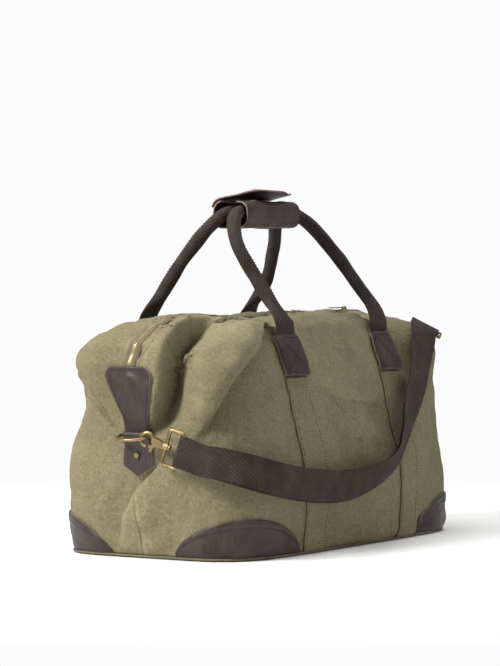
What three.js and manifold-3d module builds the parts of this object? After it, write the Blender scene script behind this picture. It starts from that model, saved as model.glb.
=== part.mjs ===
// A canvas and leather weekend duffel bag: soft body with a board in its base, a zip over the top,
// two carry handles held in a snap-closed leather grip, and a shoulder strap on two swivel hooks.
// Millimetres. +X runs along the bag to its right end, -Y is the front, +Z is up,
// and the origin is the middle of the base, where it rests on the floor.
import * as THREE from "three";
import { mergeVertices } from "three/addons/utils/BufferGeometryUtils.js";
import Module from "manifold-3d";

const wasm = await Module();
wasm.setup();

// ---- driving dimensions ----
const GAP = 0.4; // kept between pieces that touch
const CANVAS = 3; // body panel with its lining
const LEATHER = 2;
const WEBBING = 1.8;
const STITCH_LIFT = 0.9; // a piece sewn on the outside stands this far off the curved panel

// The body's outline at rising heights: half length a, half width b, squareness n of a superellipse.
const BODY = [
  { z: 3.4, a: 284, b: 145, n: 5.5 },
  { z: 60, a: 292, b: 148, n: 5.0 },
  { z: 110, a: 294, b: 144, n: 4.6 },
  { z: 150, a: 294, b: 136, n: 4.4 },
  { z: 200, a: 294, b: 124, n: 4.4 },
  { z: 236, a: 296, b: 114, n: 5.6 },
  { z: 264, a: 288, b: 104, n: 5.6 },
  { z: 284, a: 266, b: 90, n: 3.6 },
  { z: 293, a: 240, b: 66, n: 3.4 },
  { z: 296, a: 226, b: 12, n: 3.0 },
];
const FIRST_TOP_LEVEL = 6; // from this level up the panel lies over the top, so its inside is lower too
const OUTLINE_POINTS = 48;

const HANDLE_X = 117.5; // handles, patches and strips stand this far either side of the middle
const STRIP = { width: 50, bottom: 3.4, top: 218 };
const PATCH = { width: 55, bottom: 221, top: 268 };
const CORNER = { halfWidth: 82, height: 52, sides: 32 };
const SLEEVE = { radius: 8.5, wall: 2.3, flatWidth: 19, flatThick: 2.7 };
const ROPE_RADIUS = 5.8;
const ZIP = { slot: 17, tape: 16.6, teeth: 4, split: 0.5, tapeDepth: [-2.2, -1.2], teethDepth: [-2.6, -0.4] };
const GRIP = { from: -85, to: 45, y: 25, bottom: 407.5, top: 441, lip: -9, back: 17 };
const RING = { wire: 2, half: 22, straight: 6, depth: 24 };
const EYE = { near: 26.5, far: 46, half: 22, wire: 2 };
const HOOK = { radius: 8.2, wire: 1.75, neckEnd: 24, slack: 3.2 };
const STRAP = { half: 19.5, eyeTurn: 3.8, apart: 3.4 };

// ---- materials ----
const finish = (color, roughness, metalness = 0) => new THREE.MeshStandardMaterial({ color, roughness, metalness });
const canvas = finish(0x857c5a, 0.95);
const leather = finish(0x3a2a2b, 0.5);
const webbing = finish(0x382e2a, 0.9);
const brass = finish(0xa88f55, 0.35, 1);
const cloth = finish(0xa3905f, 0.9);
const board = finish(0x4a4640, 0.9);
const rope = finish(0xb8ad95, 0.95);

const bag = new THREE.Group();

function add(name, geometry, material, parent = bag) {
  const mesh = new THREE.Mesh(geometry, material);
  mesh.name = name;
  parent.add(mesh);
  return mesh;
}

// ---- shape tools ----
const vec = (x, y, z) => new THREE.Vector3(x, y, z);

// A closed surface from its corner points, turned so that its faces point out.
function closedSurface(points, index) {
  let volume = 0;
  for (let i = 0; i < index.length; i += 3) {
    const [a, b, c] = [points[index[i]], points[index[i + 1]], points[index[i + 2]]];
    volume += a.dot(b.clone().cross(c));
  }
  if (volume < 0) index.reverse();
  return new THREE.BufferGeometry().setFromPoints(points).setIndex(index);
}

// A solid through sections that all have the same number of points; a loop joins its last section to its first.
function loft(sections, loop = false) {
  const around = sections[0].length;
  const count = sections.length;
  const index = [];
  for (let i = 0; i < (loop ? count : count - 1); i++) {
    for (let j = 0; j < around; j++) {
      const a = i * around + j;
      const b = i * around + ((j + 1) % around);
      const step = (((i + 1) % count) - i) * around;
      index.push(a, b, b + step, a, b + step, a + step);
    }
  }
  const last = (count - 1) * around;
  for (let j = 1; !loop && j < around - 1; j++) index.push(0, j + 1, j, last, last + j, last + j + 1);
  return closedSurface(sections.flat(), index);
}

// A flat band: each station has a point p, a half-width vector side and an outward normal;
// the band fills the layer between the depths low and high along that normal.
function band(stations, low, high) {
  const corner = (s, across, depth) => s.p.clone().addScaledVector(s.side, across).addScaledVector(s.normal, depth);
  return loft(stations.map((s) => [corner(s, -1, low), corner(s, 1, low), corner(s, 1, high), corner(s, -1, high)]));
}

// The unit direction of a polyline at point i.
function direction(points, i, loop = false) {
  const count = points.length;
  const before = points[loop ? (i + count - 1) % count : Math.max(i - 1, 0)];
  const after = points[loop ? (i + 1) % count : Math.min(i + 1, count - 1)];
  return after.clone().sub(before).normalize();
}

// A round wire along points that lie in the local XY plane.
function flatWire(points, radius, loop = false) {
  const sides = 10;
  const up = vec(0, 0, 1);
  return loft(
    points.map((p, i) => {
      const out = up.clone().cross(direction(points, i, loop));
      return Array.from({ length: sides }, (_, k) => {
        const angle = (2 * Math.PI * k) / sides;
        return p.clone().addScaledVector(out, radius * Math.cos(angle)).addScaledVector(up, radius * Math.sin(angle));
      });
    }),
    loop,
  );
}

// A rod between two points, with flat ends.
function rod(from, to, radius, sides = 16) {
  const length = from.distanceTo(to);
  const geometry = new THREE.CylinderGeometry(radius, radius, length, sides);
  const turn = new THREE.Quaternion().setFromUnitVectors(vec(0, 1, 0), to.clone().sub(from).normalize());
  const middle = from.clone().add(to).multiplyScalar(0.5);
  return geometry.applyQuaternion(turn).translate(middle.x, middle.y, middle.z);
}

// A bar with round ends, so that bars that meet make one clean joint.
function bar(from, to, radius) {
  const geometry = new THREE.CapsuleGeometry(radius, from.distanceTo(to), 2, 8);
  const turn = new THREE.Quaternion().setFromUnitVectors(vec(0, 1, 0), to.clone().sub(from).normalize());
  const middle = from.clone().add(to).multiplyScalar(0.5);
  return geometry.applyQuaternion(turn).translate(middle.x, middle.y, middle.z);
}

// A flat plate: an outline in the local XY plane with its thickness centred on Z = 0.
function plate(outline, thickness) {
  const shape = new THREE.Shape(outline.map(([x, y]) => new THREE.Vector2(x, y)));
  return new THREE.ExtrudeGeometry(shape, { depth: thickness, bevelEnabled: false }).translate(0, 0, -thickness / 2);
}

function block(x, y, z) {
  const [dx, dy, dz] = [x[1] - x[0], y[1] - y[0], z[1] - z[0]];
  return new THREE.BoxGeometry(dx, dy, dz).translate((x[0] + x[1]) / 2, (y[0] + y[1]) / 2, (z[0] + z[1]) / 2);
}

// ---- joining and cutting ----
function toSolid(geometry) {
  const bare = geometry.clone();
  for (const name of Object.keys(bare.attributes)) if (name !== "position") bare.deleteAttribute(name);
  const merged = mergeVertices(bare, 1e-4);
  const data = { numProp: 3, vertProperties: merged.attributes.position.array };
  return new wasm.Manifold(new wasm.Mesh({ ...data, triVerts: new Uint32Array(merged.index.array) }));
}

function toGeometry(solid) {
  const mesh = solid.getMesh();
  const position = new THREE.BufferAttribute(new Float32Array(mesh.vertProperties), 3);
  return new THREE.BufferGeometry().setAttribute("position", position).setIndex(Array.from(mesh.triVerts));
}

const cut = (first, ...tools) => toGeometry(tools.reduce((s, t) => s.subtract(toSolid(t)), toSolid(first)));
const join = (first, ...others) => toGeometry(others.reduce((s, t) => s.add(toSolid(t)), toSolid(first)));
const clip = (first, tool) => toGeometry(toSolid(first).intersect(toSolid(tool)));

// ---- the body's surface ----
const mix = THREE.MathUtils.lerp;

function bodyAt(z) {
  const above = Math.min(Math.max(BODY.findIndex((l) => l.z >= z), 1), BODY.length - 1);
  const [low, high] = [BODY[above - 1], BODY[above]];
  const t = THREE.MathUtils.clamp((z - low.z) / (high.z - low.z), 0, 1);
  return { z, a: mix(low.a, high.a, t), b: mix(low.b, high.b, t), n: mix(low.n, high.n, t) };
}

// The outline at one level, grown outward by offset.
function outline(level, z, offset) {
  return Array.from({ length: OUTLINE_POINTS }, (_, i) => {
    const angle = (2 * Math.PI * i) / OUTLINE_POINTS;
    const reach = (value) => Math.sign(value) * Math.abs(value) ** (2 / level.n);
    return vec((level.a + offset) * reach(Math.cos(angle)), (level.b + offset) * reach(Math.sin(angle)), z);
  });
}

// How far out the front or back panel is at x, and how far out an end is at y.
function sideY(x, z) {
  const { a, b, n } = bodyAt(z);
  return b * (1 - Math.abs(x / a) ** n) ** (1 / n);
}

function endX(y, z) {
  const { a, b, n } = bodyAt(z);
  return a * (1 - Math.abs(y / b) ** n) ** (1 / n);
}

// Stations up the front (side -1) or the back (side 1) of the body at x.
function sideStations(x, heights, half, side) {
  const points = heights.map((z) => vec(x, side * sideY(x, z), z));
  return points.map((p, i) => {
    const t = direction(points, i);
    return { p, side: vec(half, 0, 0), normal: vec(0, side * t.z, -side * t.y) };
  });
}

const [SHOULDER, RIDGE] = BODY.slice(-2); // the last two levels, where the body turns in to the zip

// ---- the zip's line over the top, from the left end's stop to the right end's ----
const ENDS = [
  // lean: the tab's top and the zip's end sit this far back; tilt: the ring's angle below level
  { name: "left", side: -1, tabTop: 236, tabBottom: 159, lean: 15, ringZ: 152, tilt: 12 },
  { name: "right", side: 1, tabTop: 281, tabBottom: 212, lean: 0, ringZ: 205, tilt: -55 },
];
const TAB = { neck: 23, flare: 35.5 };

// Heights on the body from low to high, with its own levels between them.
const heightsBetween = (low, high) => [low, ...BODY.map((l) => l.z).filter((z) => z > low + 4 && z < high - 4), high];

function endPoint(end, z) {
  const lean = end.lean * THREE.MathUtils.clamp((z - end.tabBottom) / (end.tabTop - end.tabBottom), 0, 1);
  const settled = THREE.MathUtils.clamp((SHOULDER.z - z) / (SHOULDER.z - end.tabTop), 0, 1);
  return vec(end.side * endX(0, z), lean * settled, z);
}

const ZIP_END_LAP = 14; // the tape runs on under each tab
function zipStations() {
  const rise = (end) => heightsBetween(end.tabTop - ZIP_END_LAP, RIDGE.z).map((z) => endPoint(end, z));
  const points = [...rise(ENDS[0]), ...rise(ENDS[1]).reverse()];
  return points.map((p, i) => {
    const t = direction(points, i);
    return { p, side: vec(0, 1, 0), normal: vec(-t.z, 0, t.x) };
  });
}

// The part of the zip's band between two distances to the side of its line.
function zipBand(from, to, depth) {
  const stations = zipStations().map((s) => ({
    p: s.p.clone().add(vec(0, (from + to) / 2, 0)),
    side: vec(0, (to - from) / 2, 0),
    normal: s.normal,
  }));
  return band(stations, ...depth);
}

// ---- canvas ----
function bodyPanels() {
  const outer = loft(BODY.map((l) => outline(l, l.z, 0)));
  const inside = BODY.map((l, i) => outline(l, l.z - (i > FIRST_TOP_LEVEL ? CANVAS : 0), -CANVAS));
  const inner = loft([outline(BODY[0], -CANVAS, -CANVAS), ...inside]);
  const shell = cut(outer, inner, zipBand(-ZIP.slot, ZIP.slot, [-9, 9]));
  const reach = 400;
  add("front_panel", clip(shell, block([-reach, reach], [-reach, -GAP / 2], [0, reach])), canvas);
  add("back_panel", clip(shell, block([-reach, reach], [GAP / 2, reach], [0, reach])), canvas);
}

function base() {
  const [low, first] = [0, BODY[0]];
  add("base_panel", loft([outline(first, low, 0), outline(first, CANVAS, 0)]), canvas);
  const [under, over] = [CANVAS + GAP, CANVAS + GAP + 2.5];
  add("base_board", loft([outline(first, under, -12), outline(first, over, -12)]), board);
}

function sewnStrips() {
  for (const [face, side] of [["front", -1], ["back", 1]]) {
    for (const [hand, x] of [["left", -HANDLE_X], ["right", HANDLE_X]]) {
      const up = sideStations(x, heightsBetween(STRIP.bottom, STRIP.top), STRIP.width / 2, side);
      add(`${face}_strip_${hand}`, band(up, STITCH_LIFT, STITCH_LIFT + WEBBING), canvas);
      const lift = STITCH_LIFT + WEBBING + 3 * GAP; // the patch lies over the handle's flat end
      const over = sideStations(x, heightsBetween(PATCH.bottom, PATCH.top), PATCH.width / 2, side);
      add(`${face}_handle_patch_${hand}`, band(over, lift + SLEEVE.flatThick, lift + SLEEVE.flatThick + LEATHER), leather);
    }
  }
}

function cornerPatches() {
  const [low, high] = [BODY[0], BODY[1]];
  const layer = (offset, over) =>
    loft([outline(low, 0.5 - over, offset), outline(low, low.z, offset), outline(high, high.z + over, offset)]);
  const skin = cut(layer(GAP + LEATHER, 0), layer(GAP, 1));
  for (const [face, sy] of [["front", -1], ["back", 1]]) {
    for (const [hand, sx] of [["left", -1], ["right", 1]]) {
      const corner = 0.5 ** (1 / low.n);
      const drum = new THREE.CylinderGeometry(1, 1, 200, CORNER.sides);
      drum.scale(CORNER.halfWidth, 1, CORNER.height).rotateZ((-sx * sy * Math.PI) / 4);
      drum.translate(sx * low.a * corner, sy * low.b * corner, 0);
      add(`corner_patch_${face}_${hand}`, clip(skin, drum), leather);
    }
  }
}

// ---- handles ----
// The centre line of a handle, left foot to right foot. The feet lie flat on the panel under the patches.
const footY = (z) => sideY(HANDLE_X, z) + STITCH_LIFT + WEBBING + SLEEVE.flatThick / 2;
const HANDLES = {
  front: [
    [-HANDLE_X, -footY(226), 226], [-HANDLE_X, -footY(250), 250], [-119, -footY(270) - 1, 270], [-121, -103, 288],
    [-121, -84, 312], [-126, -62, 346], [-133, -43, 382], [-119, -26, 411], [-92, -14, 425], [-62, -11.5, 429],
    [20, -11.5, 429], [48, -15, 426], [72, -27, 411], [94, -50, 375], [110, -75, 334], [119, -97, 300],
    [120, -103, 284], [118, -footY(270) - 1, 270], [HANDLE_X, -footY(250), 250], [HANDLE_X, -footY(226), 226],
  ],
  rear: [
    [-HANDLE_X, footY(226), 226], [-HANDLE_X, footY(250), 250], [-119, footY(270) + 1, 270], [-126, 101, 288],
    [-122, 80, 322], [-113, 58, 360], [-101, 25, 405], [-87, 12.5, 422], [-62, 11.5, 429],
    [20, 11.5, 429], [47, 13.5, 425], [70, 27, 408], [98, 48, 374], [116, 70, 336], [121, 96, 302],
    [120, 103, 284], [118, footY(270) + 1, 270], [HANDLE_X, footY(250), 250], [HANDLE_X, footY(226), 226],
  ],
};
const HANDLE_STEPS = 48;
const FOOT_LENGTH = 54; // the sleeve is flat this far from its end
const SLEEVE_SIDES = 10;
const FOOT_TURN = 40; // and round this much further on

// Elliptical sections along a handle; wall is taken off both half sizes, and reach runs on past the ends.
function handleSections(route, wall, reach) {
  const curve = new THREE.CatmullRomCurve3(route.map((p) => vec(...p)), false, "centripetal");
  const points = curve.getSpacedPoints(HANDLE_STEPS);
  const length = curve.getLength();
  const ends = [0, HANDLE_STEPS];
  return points.map((point, i) => {
    const t = direction(points, i);
    const thin = vec(0, 1, 0).addScaledVector(t, -t.y).normalize();
    const wide = t.clone().cross(thin);
    const fromEnd = length * Math.min(i / HANDLE_STEPS, 1 - i / HANDLE_STEPS);
    const round = THREE.MathUtils.smoothstep(fromEnd, FOOT_LENGTH, FOOT_LENGTH + FOOT_TURN);
    const halfWide = mix(SLEEVE.flatWidth, SLEEVE.radius, round) - wall;
    const halfThin = mix(SLEEVE.flatThick / 2, SLEEVE.radius, round) - Math.min(wall, mix(1, wall, round));
    const p = point.clone().addScaledVector(t, ends.includes(i) ? (i ? reach : -reach) : 0);
    return Array.from({ length: SLEEVE_SIDES }, (_, k) => {
      const angle = (2 * Math.PI * k) / SLEEVE_SIDES;
      return p.clone().addScaledVector(wide, halfWide * Math.cos(angle)).addScaledVector(thin, halfThin * Math.sin(angle));
    });
  });
}

function handles() {
  const coreFrom = 9; // the rope fills the round part of the sleeve only
  for (const [face, route] of Object.entries(HANDLES)) {
    const sleeve = cut(loft(handleSections(route, 0, 0)), loft(handleSections(route, SLEEVE.wall, 2)));
    add(`${face}_handle`, sleeve, webbing);
    const inner = handleSections(route, SLEEVE.radius - ROPE_RADIUS, 0);
    add(`${face}_handle_core`, loft(inner.slice(coreFrom, HANDLE_STEPS + 1 - coreFrom)), rope);
  }
}

// ---- the leather grip that holds the two handles together ----
const SNAPS_X = [GRIP.from + 30, GRIP.to - 30];
const FLAP = { pivot: [20, 443], rise: 13, tipY: -24 };

function grip() {
  const middle = (GRIP.from + GRIP.to) / 2;
  const half = vec((GRIP.to - GRIP.from) / 2, 0, 0);
  const round = 9; // corner radius of the wrap
  const corners = [[1, 1], [1, -1], [-1, -1], [-1, 1]];
  const arc = corners.flatMap(([sy, sz], c) =>
    [0, 1, 2, 3, 4].map((k) => {
      const angle = Math.PI / 2 - (c + k / 4) * (Math.PI / 2);
      const cy = sy * (GRIP.y - round);
      const cz = sz > 0 ? GRIP.top - round : GRIP.bottom + round;
      return vec(middle, cy + round * Math.cos(angle), cz + round * Math.sin(angle));
    }),
  );
  const path = [vec(middle, GRIP.back - 3, GRIP.top), ...arc, vec(middle, GRIP.lip, GRIP.top)];
  const wrap = path.map((p, i) => {
    const t = direction(path, i);
    return { p, side: half, normal: vec(0, t.z, -t.y).negate() };
  });
  add("grip_wrap", band(wrap, -LEATHER, 0), leather);

  const [py, pz] = FLAP.pivot;
  const flap = [0, 0.35, 0.7, 1].map((t) => ({
    p: vec(middle, mix(py, FLAP.tipY, t), pz + FLAP.rise * t ** 0.9),
    side: half.clone().multiplyScalar(1 - 0.22 * t ** 3),
    normal: vec(0, 0.28, 1).normalize(),
  }));
  add("grip_flap", band(flap, 0, LEATHER), leather);
  SNAPS_X.forEach((x, i) => {
    const hand = ["left", "right"][i];
    const stud = rod(vec(x, -16, GRIP.top + GAP), vec(x, -16, GRIP.top + 1.6), 4);
    add(`snap_stud_${hand}`, stud, brass);
    const seat = flap[2].p.clone().setX(x).addScaledVector(flap[2].normal, LEATHER + 1.2);
    add(`snap_cap_${hand}`, rod(seat, seat.clone().addScaledVector(flap[2].normal, 1.8), 6), brass);
  });
}

// ---- zip ----
const SLIDER = { x: 206, length: 14, half: 6, plate: 1.5, web: 0.22 };
const PULL = { length: 34, half: 4.5, thick: 1.4, bail: 0.9, lift: 2.8 };

function zip() {
  add("zip_tape_front", zipBand(-ZIP.tape, -ZIP.teeth - GAP, ZIP.tapeDepth), cloth);
  add("zip_tape_back", zipBand(ZIP.teeth + GAP, ZIP.tape, ZIP.tapeDepth), cloth);
  add("zip_teeth_front", zipBand(-ZIP.teeth, -ZIP.split, ZIP.teethDepth), brass);
  add("zip_teeth_back", zipBand(ZIP.split, ZIP.teeth, ZIP.teethDepth), brass);

  const top = RIDGE.z;
  const over = top + ZIP.teethDepth[1] + GAP;
  const under = top + ZIP.teethDepth[0] - GAP;
  const along = [SLIDER.x - SLIDER.length / 2, SLIDER.x + SLIDER.length / 2];
  const across = [-SLIDER.half, SLIDER.half];
  const bailZ = over + SLIDER.plate + PULL.lift;
  const post = (y) => bar(vec(SLIDER.x, y, over + 1), vec(SLIDER.x, y, bailZ), PULL.bail);
  const slider = join(
    block(along, across, [over, over + SLIDER.plate]),
    block(along, across, [under - SLIDER.plate, under]),
    block([along[0] + 2, along[1] - 2], [-SLIDER.web, SLIDER.web], [under - 0.5, over + 0.5]),
    post(-3.2),
    post(3.2),
    bar(vec(SLIDER.x, -3.2, bailZ), vec(SLIDER.x, 3.2, bailZ), PULL.bail),
  );
  add("zip_slider", slider, brass);

  const half = PULL.thick / 2;
  const blade = block([SLIDER.x - PULL.length, SLIDER.x - 2], [-PULL.half, PULL.half], [bailZ - half, bailZ + half]);
  const knuckle = rod(vec(SLIDER.x, -1.9, bailZ), vec(SLIDER.x, 1.9, bailZ), 2.2);
  const tongue = block([SLIDER.x - 7.5, SLIDER.x - 1.6], [-1.9, 1.9], [bailZ - half, bailZ + half]);
  const clear = block([SLIDER.x - 6, SLIDER.x + 3], [-6, 6], [bailZ - 3, bailZ + 3]);
  const bore = rod(vec(SLIDER.x, -4, bailZ), vec(SLIDER.x, 4, bailZ), PULL.bail + GAP);
  add("zip_pull", cut(join(cut(blade, clear), tongue, knuckle), bore), brass);
}

// ---- end tabs, chapes and rings ----
function endTab(end) {
  const heights = heightsBetween(end.tabBottom, end.tabTop);
  const points = heights.map((z) => endPoint(end, z));
  const stations = points.map((p, i) => {
    const t = direction(points, i);
    const share = i / (points.length - 1);
    const half = mix(TAB.neck, TAB.flare, share ** 1.5);
    return { p, side: vec(0, half, 0), normal: vec(end.side * t.z, 0, -end.side * t.x) };
  });
  add(`${end.name}_end_tab`, band(stations, STITCH_LIFT, STITCH_LIFT + LEATHER), leather);
}

const CHAPE = { half: 18.5, layers: 3.6, point: 12, length: 50, loop: 4.4 };
const ringBar = (end) => vec(end.side * (endX(0, end.ringZ) + STITCH_LIFT + CHAPE.loop), 0, end.ringZ);

function chape(end) {
  const pivot = ringBar(end);
  const widths = [[0, 1], [CHAPE.length - CHAPE.point, 1.12], [CHAPE.length, 0.12]];
  const stations = widths.map(([down, width]) => {
    const z = end.ringZ - down;
    return {
      p: vec(end.side * endX(0, z), 0, z),
      side: vec(0, CHAPE.half * width, 0),
      normal: vec(end.side, 0, 0),
    };
  });
  const strap = band(stations, STITCH_LIFT, STITCH_LIFT + CHAPE.layers);
  const across = (radius, half) => rod(pivot.clone().setY(-half), pivot.clone().setY(half), radius, 20);
  const folded = cut(join(strap, across(CHAPE.loop, CHAPE.half)), across(RING.wire + GAP, CHAPE.half + 9));
  add(`${end.name}_chape`, folded, leather);

  const rivetZ = end.ringZ - 25;
  const face = endX(0, rivetZ) + STITCH_LIFT + CHAPE.layers + 1;
  const head = rod(vec(end.side * face, 0, rivetZ), vec(end.side * (face + 1.6), 0, rivetZ), 3.3);
  add(`${end.name}_chape_rivet`, head, brass);
}

// A D-shaped ring in its own XY plane: its bar lies along X at y = 0 and its bow reaches out to +Y.
function ringPoints() {
  const bow = Array.from({ length: 17 }, (_, k) => {
    const angle = (Math.PI * k) / 16;
    const y = RING.straight + (RING.depth - RING.straight) * Math.sin(angle);
    return vec(RING.half * Math.cos(angle), y, 0);
  });
  const foot = RING.half - 1.5;
  return [vec(-RING.half, 1.5, 0), vec(-foot, 0, 0), vec(foot, 0, 0), vec(RING.half, 1.5, 0), ...bow];
}

function outwardOf(end) {
  const tilt = THREE.MathUtils.degToRad(end.tilt);
  return vec(end.side * Math.cos(tilt), 0, -Math.sin(tilt));
}

// A group whose local X and Y axes are the given directions.
function framed(origin, x, y) {
  const group = new THREE.Group();
  const ex = x.clone().normalize();
  const ey = y.clone().addScaledVector(ex, -y.dot(ex)).normalize();
  group.quaternion.setFromRotationMatrix(new THREE.Matrix4().makeBasis(ex, ey, ex.clone().cross(ey)));
  group.position.copy(origin);
  bag.add(group);
  return group;
}

function ring(end) {
  const group = framed(ringBar(end), vec(0, 1, 0), outwardOf(end));
  add(`${end.name}_d_ring`, flatWire(ringPoints(), RING.wire, true), brass, group);
}

// ---- swivel hooks ----
// Each hook takes hold of its ring's bow at a share round it, and points along to the strap's eye.
const CLASPS = {
  left: { bowAngle: 157, along: vec(0.13, -0.94, -0.31), up: vec(0, 0, 1) },
  right: { bowAngle: 122, along: vec(0.15, -0.72, 0.68), up: vec(-1, 0, 0.2) },
};

function hookCentre(end) {
  const { bowAngle, along } = CLASPS[end.name];
  const angle = THREE.MathUtils.degToRad(bowAngle);
  const reach = RING.straight + (RING.depth - RING.straight) * Math.sin(angle);
  const held = ringBar(end).addScaledVector(outwardOf(end), reach);
  held.y += RING.half * Math.cos(angle);
  return held.addScaledVector(along.clone().normalize(), HOOK.slack);
}

function hookBody() {
  const arc = Array.from({ length: 22 }, (_, k) => {
    const angle = THREE.MathUtils.degToRad(mix(22, 278, k / 21));
    return vec(HOOK.radius * Math.cos(angle), HOOK.radius * Math.sin(angle), 0);
  });
  const neck = plate([[7, 1.2], [6.6, 4.6], [12, 5.2], [HOOK.neckEnd, 3.8], [HOOK.neckEnd, -3.8], [11, -4.4], [8.4, -1.5]], 5.2);
  const slot = block([5, 18.5], [-8, 1.8], [-1.1, 1.1]);
  const pinHole = rod(vec(14, -1, -5), vec(14, -1, 5), 1.25 + 0.3);
  const stem = rod(vec(HOOK.neckEnd - 1, 0, 0), vec(31, 0, 0), 1.8);
  const head = rod(vec(30.4, 0, 0), vec(32.2, 0, 0), 3.2);
  return join(cut(join(cut(neck, slot), flatWire(arc, HOOK.wire)), pinHole), stem, head);
}

function gateLever() {
  const lever = plate(
    [[16.4, 0.6], [16.2, -3], [11.5, -6.4], [9.4, -13], [6.6, -14.6], [6.8, -9.6], [3.9, -9.4], [3.6, -6.8], [8.6, -4], [12.2, 1]],
    1.5,
  );
  return cut(lever, rod(vec(14, -1, -3), vec(14, -1, 3), 1.25 + 0.3));
}

function swivelEye() {
  const corner = 3;
  const [low, high] = [EYE.near + corner, EYE.far - corner];
  const centres = [[high, 1, 0], [low, 1, 90], [low, -1, 180], [high, -1, 270]];
  const points = centres.flatMap(([x, sy, start]) =>
    [0, 30, 60, 90].map((more) => {
      const angle = THREE.MathUtils.degToRad(start + more);
      return vec(x + corner * Math.cos(angle), sy * (EYE.half - corner) + corner * Math.sin(angle), 0);
    }),
  );
  const boss = rod(vec(HOOK.neckEnd + GAP, 0, 0), vec(29.9, 0, 0), 4.2);
  const bore = rod(vec(20, 0, 0), vec(35, 0, 0), 2.2);
  return cut(join(flatWire(points, EYE.wire, true), boss), bore);
}

function clasp(end) {
  const { along, up } = CLASPS[end.name];
  const group = framed(hookCentre(end), along, up);
  add(`${end.name}_hook`, hookBody(), brass, group);
  add(`${end.name}_hook_lever`, gateLever(), brass, group);
  add(`${end.name}_lever_pin`, rod(vec(14, -1, -2.9), vec(14, -1, 2.9), 1.25), brass, group);
  add(`${end.name}_swivel_eye`, swivelEye(), brass, group);
}

// ---- shoulder strap ----
// The strap's middle line from the left eye to the right eye, and the direction of its upper edge.
const beyondHook = (end, distance) =>
  hookCentre(end).addScaledVector(CLASPS[end.name].along.clone().normalize(), distance).toArray();
const EYE_LEADS = [7, 14]; // the strap leaves each eye in line with its hook
const STRAP_ROUTE = [
  [beyondHook(ENDS[0], EYE.far), [0.04, -0.31, 0.95]],
  ...EYE_LEADS.map((lead) => [beyondHook(ENDS[0], EYE.far + lead), [0.04, -0.31, 0.95]]),
  [[-302, -98, 124], [0.03, -0.25, 0.97]],
  [[-299, -118, 121], [0.05, -0.15, 0.98]],
  [[-282, -146, 112], [0.1, -0.05, 1]],
  [[-250, -163, 102], [0.1, 0, 1]],
  [[-193, -169, 91], [0.06, 0, 1]],
  [[-120, -169, 83], [0, 0, 1]],
  [[-66, -169, 82], [-0.12, -0.15, 0.98]],
  [[-20, -169, 86], [-0.35, -0.35, 0.87]],
  [[30, -167, 97], [-0.6, -0.45, 0.65]],
  [[66, -163, 113], [-0.78, -0.4, 0.45]],
  [[92, -158, 138], [-0.88, -0.3, 0.3]],
  [[120, -150, 166], [-0.92, -0.1, 0.3]],
  [[152, -141, 190], [-0.88, 0.05, 0.4]],
  [[181, -131, 214], [-0.85, 0.15, 0.45]],
  [[205, -121, 237], [-0.8, 0.3, 0.45]],
  [[228, -112, 259], [-0.7, 0.45, 0.45]],
  [[252, -99, 275], [-0.62, 0.6, 0.42]],
  [[284, -86, 273], [-0.75, 0.5, 0.45]],
  ...EYE_LEADS.toReversed().map((lead) => [beyondHook(ENDS[1], EYE.far + lead), CLASPS.right.up.toArray()]),
  [beyondHook(ENDS[1], EYE.far), CLASPS.right.up.toArray()],
];
const STRAP_STEPS = 84;
const ADJUSTER_AT = 77; // the step where the adjuster sits
const SEWN_BACK = 4; // steps of webbing turned back and sewn behind the right eye
const EYE_STEPS = 5; // steps over which the layers close up beyond an eye
const ADJUSTER = { wire: 1.3, pitch: 10, clear: 0.5, spread: 2.9, steps: 3 };

function strapStations() {
  const curve = (column) => new THREE.CatmullRomCurve3(STRAP_ROUTE.map((r) => vec(...r[column])), false, "centripetal");
  const line = curve(0);
  const edge = curve(1);
  const points = line.getSpacedPoints(STRAP_STEPS);
  return points.map((p, i) => {
    const t = direction(points, i);
    const guide = edge.getPoint(line.getUtoTmapping(i / STRAP_STEPS));
    const side = guide.addScaledVector(t, -guide.dot(t)).normalize();
    return { p, t, side, normal: t.clone().cross(side).negate() };
  });
}

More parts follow.
